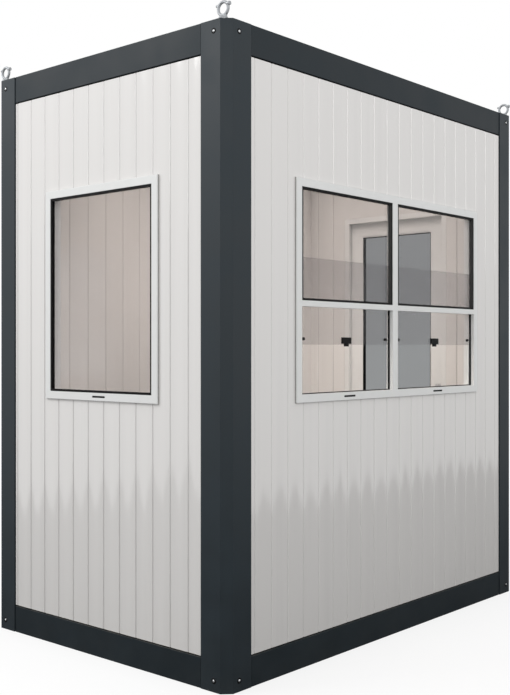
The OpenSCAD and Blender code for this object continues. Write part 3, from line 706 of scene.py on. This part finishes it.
def zinc_plate(name, colour, metallic, dull):
    """Zinc plate with its crystal pattern; dull is added to its roughness."""
    material, tree, shader = new_material(name)
    base = rgba(colour)
    spangle = use_group(tree, "Spangle")
    shade = math_node(tree, "SUBTRACT", 1.0, spangle["Tone"])
    put(tree, shader.inputs["Base Color"], mix(tree, shade, base, ZINC_SHADE))
    put(tree, shader.inputs["Roughness"], math_node(tree, "ADD", spangle["Gloss"], dull))
    fine = noise(tree, place(tree), 600.0, 2.0)
    put(tree, shader.inputs["Normal"], textured(tree, fine, "zinc"))
    set_shader(shader, Metallic=metallic)
    return material


def floor_vinyl():
    """Grey safety vinyl with fine flecks."""
    material, tree, shader = new_material("floor_vinyl")
    base = rgba(finishes().vinyl)
    flecks = wired(tree, "ShaderNodeTexVoronoi", {"Vector": place(tree), "Scale": 260.0})
    light = ramp(tree, flecks.outputs["Distance"], 0.12, 0.2, 1.0, 0.0)
    speckled = mix(tree, times(tree, light, 0.5), base, scaled(base, 1.7))
    scuffs = noise(tree, stretched(tree, place(tree), (4.0, 9.0, 4.0)), 1.0, 6.0, 0.7)
    scuffed = mix(tree, ramp(tree, scuffs, 0.5, 0.8, 0.0, 0.4), speckled, scaled(base, 0.6))
    put(tree, shader.inputs["Base Color"], scuffed)
    put(tree, shader.inputs["Roughness"], ramp(tree, scuffs, 0.3, 0.8, 0.4, 0.65))
    put(tree, shader.inputs["Normal"], textured(tree, flecks.outputs["Distance"], "vinyl"))
    return material


MATERIAL_MAKERS = {
    "steel": lambda: frame_steel("post_powder_coat", depth=1.0, gloss=0.35),
    # The beams' copy of the coat is darkened to 0.82 as painted shade
    "shaded_beam_steel": lambda: frame_steel("beam_powder_coat_painted_shade", depth=0.82, gloss=0.25),
    "long_panel": long_panel,
    "short_panel": short_panel,
    "roof": roof_coat,
    "profile": white_profile,
    "glass": lambda: clear_glass("window_glass", finishes().glass),
    "door_glass": lambda: clear_glass("door_glass", finishes().door_glass, roughness=0.18),
    "rubber": black_rubber,
    "guide_rubber": guide_rubber,
    "door_rubber": door_rubber,
    "sealant": sealant,
    "zinc": lambda: zinc_plate("zinc_plate", finishes().zinc, metallic=0.85, dull=0.0),
    "forged_zinc": lambda: zinc_plate(
        "forged_zinc_plate", finishes().forged_zinc, metallic=0.5, dull=0.22
    ),
    "vinyl": floor_vinyl,
}
materials = {}


def finish(key):
    """The material of that key, made when it is first asked for."""
    if key not in materials:
        materials[key] = MATERIAL_MAKERS[key]()
    return materials[key]


def coat(key, *names):
    """Gives CAD nodes their material."""
    for name in names:
        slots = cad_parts[name].data.materials
        slots.clear()
        slots.append(finish(key))


# Mesh helpers

def new_object(name, data):
    piece = bpy.data.objects.new(name, data)
    bpy.context.scene.collection.objects.link(piece)
    return piece


def points_object(name, points, normals):
    """A mesh of loose points, each with the direction that it faces."""
    mesh = bpy.data.meshes.new(name)
    mesh.from_pydata([tuple(p) for p in points], [], [])
    facing = mesh.attributes.new("facing", "FLOAT_VECTOR", "POINT")
    facing.data.foreach_set("vector", [c for n in normals for c in n])
    return new_object(name, mesh)


def geometry_tree(name, inputs):
    """An empty geometry tree with its sockets, and its two end nodes."""
    tree = bpy.data.node_groups.new(name, "GeometryNodeTree")
    tree.interface.new_socket("Geometry", in_out="INPUT", socket_type="NodeSocketGeometry")
    for socket_name, kind, default in inputs:
        socket = tree.interface.new_socket(socket_name, in_out="INPUT", socket_type=kind)
        if default is not None:
            socket.default_value = default
    tree.interface.new_socket("Geometry", in_out="OUTPUT", socket_type="NodeSocketGeometry")
    return tree, tree.nodes.new("NodeGroupInput").outputs, tree.nodes.new("NodeGroupOutput").inputs


def finish_tree(tree, geometry, given, result):
    """Ends a geometry tree with Realize Instances and Set Material."""
    real = wired(tree, "GeometryNodeRealizeInstances", {0: geometry}).outputs[0]
    inputs = {"Geometry": real, "Material": given["Material"]}
    put(tree, result["Geometry"], wired(tree, "GeometryNodeSetMaterial", inputs).outputs[0])


def on_points(tree, points, shape, rotation, scale):
    """A shape on each point, turned and scaled."""
    inputs = {"Points": points, "Instance": shape, "Rotation": rotation, "Scale": scale}
    return wired(tree, "GeometryNodeInstanceOnPoints", inputs).outputs[0]


def set_on_points(tree, shape, given, result, axis, pivot):
    """Ends a tree with a shape on each point, its axis turned about the pivot to where the point faces."""
    facing = add(tree, "GeometryNodeInputNamedAttribute", data_type="FLOAT_VECTOR")
    facing.inputs["Name"].default_value = "facing"
    ahead = {"Vector": facing.outputs["Attribute"]}
    aimed = wired(tree, "FunctionNodeAlignRotationToVector", ahead, axis=axis, pivot_axis=pivot)
    placed = on_points(tree, given["Geometry"], shape, aimed.outputs[0], (1, 1, 1))
    finish_tree(tree, placed, given, result)


def sized(tree, geometry, given, x, y, z):
    """Geometry scaled along X, Y and Z by three of the tree's inputs, given by name."""
    size = wired(tree, "ShaderNodeCombineXYZ", {"X": given[x], "Y": given[y], "Z": given[z]}).outputs[0]
    return wired(tree, "GeometryNodeTransform", {"Geometry": geometry, "Scale": size}).outputs[0]


def plain_mesh(piece):
    """A new mesh of a piece as its modifiers leave it."""
    return bpy.data.meshes.new_from_object(piece.evaluated_get(bpy.context.evaluated_depsgraph_get()))


def run_tree(piece, tree, body, slot, **values):
    """Runs a geometry tree on a piece, keeps the result as its plain mesh and rides it on a body."""
    modifier = piece.modifiers.new(tree.name, "NODES")
    modifier.node_group = tree
    sockets = {s.name: s.identifier for s in tree.interface.items_tree if s.in_out == "INPUT"}
    for key, value in values.items():
        modifier[sockets[key.replace("_", " ")]] = value
    bpy.context.view_layer.update()
    result = plain_mesh(piece)
    piece.modifiers.remove(modifier)
    result.name = piece.name
    piece.data = result
    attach(piece, body)


def set_heads(name, body, slot, points, normals, radius, height, washer_share=1.0, sides=24):
    """Round heads on points, each facing along its normal, in the finish that the slot names."""
    run_tree(
        points_object(name, points, normals), trees("Fastener Heads", button_tree), body, slot,
        Head_Radius=radius, Head_Height=height, Washer_Share=washer_share, Sides=sides,
        Material=finish(slot),
    )


MATERIAL_INPUT = ("Material", "NodeSocketMaterial", None)


def button_tree():
    """Round fastener heads on points: a domed head on a flat washer."""
    tree, given, result = geometry_tree(
        "Fastener Heads",
        [
            ("Head Radius", FLOAT, 0.007), ("Head Height", FLOAT, 0.004), ("Washer Share", FLOAT, 1.4),
            ("Sides", "NodeSocketInt", 24), MATERIAL_INPUT,
        ],
    )
    ball = {"Segments": given["Sides"], "Rings": 10, "Radius": 1.0}
    dome = wired(tree, "GeometryNodeMeshUVSphere", ball)
    domed = sized(tree, dome.outputs["Mesh"], given, "Head Radius", "Head Radius", "Head Height")
    disc = {
        "Vertices": given["Sides"],
        "Radius": times(tree, given["Head Radius"], given["Washer Share"]),
        "Depth": times(tree, given["Head Height"], 0.5),
    }
    washer = wired(tree, "GeometryNodeMeshCylinder", disc)
    joined = add(tree, "GeometryNodeJoinGeometry")
    tree.links.new(domed, joined.inputs[0])
    tree.links.new(washer.outputs["Mesh"], joined.inputs[0])
    set_on_points(tree, joined.outputs[0], given, result, "Z", "AUTO")
    return tree


def joint_shade_rod_tree():
    """Upright rods of oval section on points, their depth along the direction that each point faces."""
    tree, given, result = geometry_tree(
        "Joint Shade Rods",
        [("Width", FLOAT, 0.004), ("Depth", FLOAT, 0.005), ("Height", FLOAT, 0.15), MATERIAL_INPUT],
    )
    rod = wired(tree, "GeometryNodeMeshCylinder", {"Vertices": 12, "Radius": 0.5, "Depth": 1.0})
    shaped = sized(tree, rod.outputs["Mesh"], given, "Depth", "Width", "Height")
    set_on_points(tree, shaped, given, result, "X", "Z")
    return tree


def weld_tree():
    """A rippled weld bead round a circle that lies flat: many short overlapping scales."""
    tree, given, result = geometry_tree(
        "Weld Bead",
        [
            ("Ring Radius", FLOAT, 0.02), ("Bead Width", FLOAT, 0.005), ("Ripples", "NodeSocketInt", 44),
            MATERIAL_INPUT,
        ],
    )
    path = {"Resolution": given["Ripples"], "Radius": given["Ring Radius"]}
    circle = wired(tree, "GeometryNodeCurvePrimitiveCircle", path)
    ball = {"Segments": 10, "Rings": 6, "Radius": times(tree, given["Bead Width"], WELD_SCALE_SHARE)}
    scale = wired(tree, "GeometryNodeMeshUVSphere", ball)
    jitter = add(tree, "FunctionNodeRandomValue", data_type="FLOAT")
    jitter.inputs[2].default_value, jitter.inputs[3].default_value = WELD_SPREAD
    jitter.inputs["Seed"].default_value = WELD_SEED
    ahead = {"Vector": add(tree, "GeometryNodeInputTangent").outputs[0]}
    aimed = wired(tree, "FunctionNodeAlignRotationToVector", ahead, axis="X").outputs[0]
    bead = on_points(tree, circle.outputs["Curve"], scale.outputs["Mesh"], aimed, jitter.outputs[1])
    finish_tree(tree, on_points(tree, given["Geometry"], bead, (0, 0, 0), (1, 1, 1)), given, result)
    return tree


def trees(name, make):
    """The tree of that name, made when it is first asked for."""
    return bpy.data.node_groups.get(name) or make()


def merged_copy(name, node):
    """A copy of a CAD node's mesh with its loose triangles joined."""
    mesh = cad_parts[node].data.copy()
    shape = bmesh.new()
    shape.from_mesh(mesh)
    bmesh.ops.remove_doubles(shape, verts=shape.verts, dist=MERGE_DISTANCE)
    shape.to_mesh(mesh)
    shape.free()
    mesh.materials.clear()
    return new_object(name, mesh)


def apply_modifiers(piece):
    """Turns a piece with modifiers into its plain mesh."""
    result = plain_mesh(piece)
    piece.modifiers.clear()
    piece.data = result


# Pieces

class BOOTH_OT_effects(bpy.types.Operator):
    """Build the shader groups that the finishes share"""

    bl_idname = "booth.effects"
    bl_label = "Shared effects"

    def execute(self, context):
        make_effects()
        return {"FINISHED"}


class BOOTH_OT_steel_frame(bpy.types.Operator):
    """Powder-coat the posts, and the beams and joists in a copy of the coat darkened as painted shade"""

    bl_idname = "booth.steel_frame"
    bl_label = "Steel frame"

    def execute(self, context):
        coat("steel", *[f"post_{name}" for name in CORNERS.values()])
        coat("shaded_beam_steel", *[f"base_beam_{side}" for side in SIDES], *[f"roof_beam_{side}" for side in SIDES])
        coat("shaded_beam_steel", "floor_joists")
        return {"FINISHED"}


class BOOTH_OT_frame_joints(bpy.types.Operator):
    """Press a black rod into the open joint at both ends of every beam; its black is painted shade in the
    joint
    """

    bl_idname = "booth.frame_joints"
    bl_label = "Frame joints"

    def execute(self, context):
        half = fastenings().rod_width / 2
        points = []
        normals = []
        for side, facing in SIDES.items():
            flat = 0 if facing[0] else 1
            out = facing[flat]
            for level in ("base", "roof"):
                low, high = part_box(f"{level}_beam_{side}")
                spot = (low + high) / 2
                spot[flat] = (high if out > 0 else low)[flat] - out * fastenings().rod_set
                for end in (low[1 - flat] + half, high[1 - flat] - half):
                    spot[1 - flat] = end
                    points.append(tuple(spot))
                    normals.append((*facing, 0))
        # Painted shade: the rods' black stands in for the shadow in each open joint
        piece = points_object("frame_joint_shade_rods", points, normals)
        run_tree(
            piece, trees("Joint Shade Rods", joint_shade_rod_tree), BOOTH, "rubber", Width=fastenings().rod_width,
            Depth=fastenings().rod_depth, Height=high.z - low.z, Material=finish("rubber"),
        )
        return {"FINISHED"}


class BOOTH_OT_walls(bpy.types.Operator):
    """Coat the wall panels, ceiling and roof, and lay the vinyl"""

    bl_idname = "booth.walls"
    bl_label = "Walls, floor and roof"

    def execute(self, context):
        coat("long_panel", "front_wall", "back_wall", "ceiling_board", "corner_casings")
        coat("short_panel", "left_wall", "door_wall_front", "door_wall_back", "door_wall_over")
        coat("rubber", "wall_seals")
        coat("roof", "roof_panel")
        coat("vinyl", "floor_deck")
        return {"FINISHED"}


class BOOTH_OT_windows(bpy.types.Operator):
    """Finish both windows, their gaskets, glass and black fittings"""

    bl_idname = "booth.windows"
    bl_label = "Windows"

    def execute(self, context):
        coat("profile", "side_window_frame", "front_window_frame")
        coat("rubber", "side_window_gasket", "sash_fittings")
        coat("guide_rubber", "front_window_gasket")
        coat("glass", "side_window_pane", "front_window_panes", "sash_left", "sash_right")
        return {"FINISHED"}


class BOOTH_OT_window_beads(bpy.types.Operator):
    """Run a grey sealing bead round both window frames, in the angle between flange and panel"""

    bl_idname = "booth.window_beads"
    bl_label = "Window beads"

    def execute(self, context):
        for side, frame_node, wall_node, flat in (
            ("side", "side_window_frame", "left_wall", 0), ("front", "front_window_frame", "front_wall", 1),
        ):
            low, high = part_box(frame_node)
            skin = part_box(wall_node)[0][flat]
            along = 1 - flat
            inner = (low[along], high[along], low.z, high.z)
            depths = (skin, skin - fastenings().bead_depth)
            self.bead(f"{side}_window_bead", inner, depths, flat)
        return {"FINISHED"}

    def bead(self, name, inner, depths, flat):
        """A closed rectangular ring with a sloping outer face, from the skin outwards."""
        width = fastenings().bead_width
        shape = bmesh.new()
        rings = []
        crest = width * BEAD_CREST
        for grow, depth in ((0.0, depths[0]), (width, depths[0]), (crest, depths[1]), (0.0, depths[1])):
            u0, u1, z0, z1 = inner[0] - grow, inner[1] + grow, inner[2] - grow, inner[3] + grow
            ring = []
            for u, z in ((u0, z0), (u1, z0), (u1, z1), (u0, z1)):
                spot = [0.0, 0.0, z]
                spot[flat] = depth
                spot[1 - flat] = u
                ring.append(shape.verts.new(spot))
            rings.append(ring)
        for index, ring in enumerate(rings):
            after = rings[(index + 1) % 4]
            for corner in range(4):
                turn = (corner + 1) % 4
                shape.faces.new((ring[corner], ring[turn], after[turn], after[corner]))
        bmesh.ops.recalc_face_normals(shape, faces=shape.faces)
        mesh = bpy.data.meshes.new(name)
        shape.to_mesh(mesh)
        shape.free()
        mesh.materials.append(finish("sealant"))
        piece = new_object(name, mesh)
        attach(piece, BOOTH)


class BOOTH_OT_door(bpy.types.Operator):
    """Finish the door, its frame and its metal parts"""

    bl_idname = "booth.door"
    bl_label = "Door"

    def execute(self, context):
        coat("profile", "door_leaf", "door_jamb_hinge", "door_jamb_lock", "door_head")
        coat("door_rubber", "door_gasket")
        coat("door_glass", "door_pane")
        coat("zinc", "door_threshold", "door_handles", "hinge_pins", "hinge_leaves")
        return {"FINISHED"}


class BOOTH_OT_lifting_eyes(bpy.types.Operator):
    """Forge the lifting eyes with soft transitions, and weld them to the posts"""

    bl_idname = "booth.lifting_eyes"
    bl_label = "Lifting eyes"

    def execute(self, context):
        bead = trees("Weld Bead", weld_tree)
        for corner in CORNERS.values():
            name = f"lifting_eye_{corner}"
            piece = merged_copy(f"forged_{name}", name)
            remesh = piece.modifiers.new("blend", "REMESH")
            remesh.mode = "VOXEL"
            remesh.voxel_size = EYE_GRID
            remesh.use_smooth_shade = True
            smooth = piece.modifiers.new("soften", "SMOOTH")
            smooth.factor = EYE_SOFTNESS
            smooth.iterations = EYE_PASSES
            apply_modifiers(piece)
            piece.data.materials.append(finish("forged_zinc"))
            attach(piece, BOOTH)
            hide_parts(name)
            low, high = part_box(name)
            centre = (low + high) / 2
            ring = points_object(f"weld_{name}", [(centre.x, centre.y, low.z)], [(0, 0, 1)])
            run_tree(
                ring, bead, BOOTH, "zinc", Ring_Radius=(high.x - low.x) / 2,
                Bead_Width=fastenings().weld_width, Ripples=fastenings().weld_ripples,
                Material=finish("forged_zinc"),
            )
        return {"FINISHED"}


class BOOTH_OT_post_bolts(bpy.types.Operator):
    """Set the round bolt heads in both outer faces of every post, near its ends"""

    bl_idname = "booth.post_bolts"
    bl_label = "Post bolts"

    def execute(self, context):
        points = []
        normals = []
        for (sx, sy), name in CORNERS.items():
            low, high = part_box(f"post_{name}")
            middle = (low + high) / 2
            outer_x = low.x if sx < 0 else high.x
            outer_y = low.y if sy < 0 else high.y
            inset = fastenings().bolt_end
            for z in (low.z + inset, high.z - inset):
                points += [(outer_x, middle.y, z), (middle.x, outer_y, z)]
                normals += [(sx, 0, 0), (0, sy, 0)]
        sizes = fastenings()
        set_heads("post_bolts", BOOTH, "zinc", points, normals, sizes.bolt_radius, sizes.bolt_height)
        # Black washers: partly real washers, partly painted shade round each bolt head
        set_heads("post_bolt_washers_and_shade", BOOTH, "rubber", points, normals, sizes.washer_and_shade_radius, WASHER_AND_SHADE_HEIGHT)
        return {"FINISHED"}


class BOOTH_OT_screws(bpy.types.Operator):
    """Drive the screws of the hinges, the lever plates and the roof panel"""

    bl_idname = "booth.screws"
    bl_label = "Screws"

    def execute(self, context):
        self.roof_screws()
        self.plate_screws()
        self.hinge_screws()
        return {"FINISHED"}

    def roof_screws(self):
        """Sealing screws on the ribs but for the outermost, in the middle and near both ends of each."""
        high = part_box("roof_panel")[1]
        count = int((high.x - ROOF_SCREW_END) / ROOF_SCREW_PITCH)
        along = [i * ROOF_SCREW_PITCH for i in range(-count, count + 1)]
        reach = high.y - ROOF_SCREW_EDGE
        points = [(x, y, high.z) for x in along for y in (-reach, 0.0, reach)]
        set_heads(
            "roof_screws", BOOTH, "zinc", points, [(0, 0, 1)] * len(points),
            fastenings().roof_screw_radius / ROOF_WASHER_SHARE, ROOF_SCREW_HEIGHT, ROOF_WASHER_SHARE,
            SCREW_SIDES,
        )

    def small_screws(self, name, body, points, normals):
        set_heads(
            name, body, "zinc", points, normals, fastenings().screw_radius, SCREW_HEIGHT, WASHER_SHARE,
            SCREW_SIDES,
        )

    def plate_screws(self):
        """Two screws in each lever plate, above and below the lever."""
        low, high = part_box("door_handles")
        leaf_low, leaf_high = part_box("door_leaf")
        y = low.y + LEVER_SCREW_IN
        points = []
        normals = []
        for side, x in ((1, leaf_high.x + LEVER_PLATE), (-1, leaf_low.x - LEVER_PLATE)):
            for z in (low.z + LEVER_SCREW_END, high.z - LEVER_SCREW_END):
                points.append((x, y, z))
                normals.append((side, 0, 0))
        self.small_screws("lever_plate_screws", DOOR, points, normals)

    def hinge_screws(self):
        """Two screws in each plate of the three hinges, on the leaf and on the door frame."""
        leaf_low, leaf_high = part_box("hinge_leaves")
        fixed_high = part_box("hinge_pins")[1]
        half = HINGE_HALF / 2
        bottom, top = leaf_low.z + half, leaf_high.z - half
        middles = (bottom, (bottom + top) / 2, top)
        leaf_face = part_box("door_leaf")[1].x + HINGE_PLATE
        fixed_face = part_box("door_jamb_hinge")[1].x + HINGE_PLATE
        for name, body, x, y, drop in (
            ("hinge_leaf_screws", DOOR, leaf_face, leaf_low.y + LEAF_SCREW_IN, 0.0),
            ("hinge_frame_screws", BOOTH, fixed_face, fixed_high.y - FRAME_SCREW_IN, HINGE_HALF + HINGE_GAP),
        ):
            points = [(x, y, z - drop + up) for z in middles for up in (-HINGE_SCREW_UP, HINGE_SCREW_UP)]
            self.small_screws(name, body, points, [(1, 0, 0)] * len(points))


class BOOTH_OT_studio(bpy.types.Operator):
    """Build the camera, the lamps and the pale floor"""

    bl_idname = "booth.studio"
    bl_label = "Studio"

    def execute(self, context):
        self.camera()
        self.lamps()
        self.floor()
        self.world()
        context.scene.view_settings.view_transform = "Standard"
        return {"FINISHED"}

    def camera(self):
        data = bpy.data.cameras.new("photo_camera")
        data.sensor_width = SENSOR_MM
        data.lens = data.sensor_width * FOCAL_PX / PHOTO_HEIGHT_PX
        camera = new_object("photo_camera", data)
        camera.location = studio().camera_place
        camera.rotation_euler = (math.pi / 2, 0.0, studio().camera_heading)
        bpy.context.scene.camera = camera

    def lamp(self, name, power, spot, target, size, colour=(1, 1, 1)):
        data = bpy.data.lights.new(name, "AREA")
        data.energy = power
        data.color = colour
        data.shape = "RECTANGLE"
        data.size, data.size_y = size
        lamp = new_object(name, data)
        lamp.location = spot
        lamp.rotation_euler = (Vector(target) - Vector(spot)).to_track_quat("-Z", "Y").to_euler()
        return lamp

    def lamps(self):
        self.lamp("key", studio().key_power, KEY_PLACE, LAMP_TARGET, KEY_SIZE)
        self.lamp("fill", studio().fill_power, FILL_PLACE, LAMP_TARGET, FILL_SIZE)
        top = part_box("ceiling_board")[0].z - ROOM_DROP
        room = self.lamp(
            "room", studio().room_power, (ROOM_X, 0.0, top), (ROOM_X, 0.0, 0.0), ROOM_SIZE, ROOM_COLOUR
        )
        room.data.spread = ROOM_SPREAD
        room.visible_camera = room.visible_glossy = room.visible_transmission = False

    def seen(self, tree, *rays):
        """Mask of what rays of the named kinds meet."""
        path = add(tree, "ShaderNodeLightPath").outputs
        mask = 0.0
        for ray in rays:
            mask = math_node(tree, "MAXIMUM", mask, path[ray])
        return mask

    def floor(self):
        x, y = studio().floor_corner
        far_x, far_y = x + studio().floor_length, y + studio().floor_width
        corners = ((x, y, 0), (far_x, y, 0), (far_x, far_y, 0), (x, far_y, 0))
        mesh = bpy.data.meshes.new("studio_floor")
        mesh.from_pydata(corners, [], [(0, 1, 2, 3)])
        floor = new_object("studio_floor", mesh)
        floor.location.z = -FLOOR_DROP
        material, tree, shader = new_material("studio_floor")
        seen = self.seen(tree, "Is Camera Ray", "Is Transmission Ray")
        greys = mix(tree, seen, rgba([GROUND_GREY] * 3), rgba([FLOOR_GREY] * 3))
        put(tree, shader.inputs["Base Color"], greys)
        set_shader(shader, Roughness=0.9, Specular_IOR_Level=0.0)
        white = add(tree, "ShaderNodeEmission")
        away = ramp(tree, vector_node(tree, "LENGTH", place(tree)), *FADE_REACH, NEAR_WHITE, 1.0)
        mix_shaders(tree, times(tree, seen, away), shader, white)
        mesh.materials.append(material)

    def world(self):
        world = bpy.data.worlds.new("studio_world")
        bpy.context.scene.world = world
        world.use_nodes = True
        tree = world.node_tree
        tree.nodes.clear()
        seen = self.seen(tree, "Is Camera Ray", "Is Transmission Ray", "Is Glossy Ray")
        strength = ramp(tree, seen, 0.0, 1.0, studio().sky, 1.0)
        inputs = {"Color": (1, 1, 1, 1), "Strength": strength}
        background = wired(tree, "ShaderNodeBackground", inputs)
        output = add(tree, "ShaderNodeOutputWorld")
        tree.links.new(background.outputs[0], output.inputs["Surface"])


PIECES = (
    BOOTH_OT_effects,
    BOOTH_OT_steel_frame,
    BOOTH_OT_frame_joints,
    BOOTH_OT_walls,
    BOOTH_OT_windows,
    BOOTH_OT_window_beads,
    BOOTH_OT_door,
    BOOTH_OT_lifting_eyes,
    BOOTH_OT_post_bolts,
    BOOTH_OT_screws,
    BOOTH_OT_studio,
)


class BOOTH_PT_panel(bpy.types.Panel):
    """Lists the booth's finishes and pieces"""

    bl_idname = "BOOTH_PT_panel"
    bl_label = "Guard Booth"
    bl_space_type = "VIEW_3D"
    bl_region_type = "UI"
    bl_category = "Guard Booth"

    def draw(self, context):
        for group in (finishes(), fastenings(), studio()):
            box = self.layout.box()
            for name in group.__annotations__:
                box.prop(group, name)
        for piece in PIECES:
            self.layout.operator(piece.bl_idname)


GROUPS = {
    "booth_finishes": BOOTH_PG_finishes,
    "booth_fastenings": BOOTH_PG_fastenings,
    "booth_studio": BOOTH_PG_studio,
}


def register():
    for group in GROUPS.values():
        bpy.utils.register_class(group)
    for name, group in GROUPS.items():
        setattr(bpy.types.Scene, name, PointerProperty(type=group))
    for piece in PIECES:
        bpy.utils.register_class(piece)
    bpy.utils.register_class(BOOTH_PT_panel)


def unregister():
    bpy.utils.unregister_class(BOOTH_PT_panel)
    for piece in reversed(PIECES):
        bpy.utils.unregister_class(piece)
    for name in GROUPS:
        delattr(bpy.types.Scene, name)
    for group in GROUPS.values():
        bpy.utils.unregister_class(group)


def main():
    register()
    for piece in PIECES:
        group, name = piece.bl_idname.split(".")
        getattr(getattr(bpy.ops, group), name)()


if __name__ == "__main__":
    main()
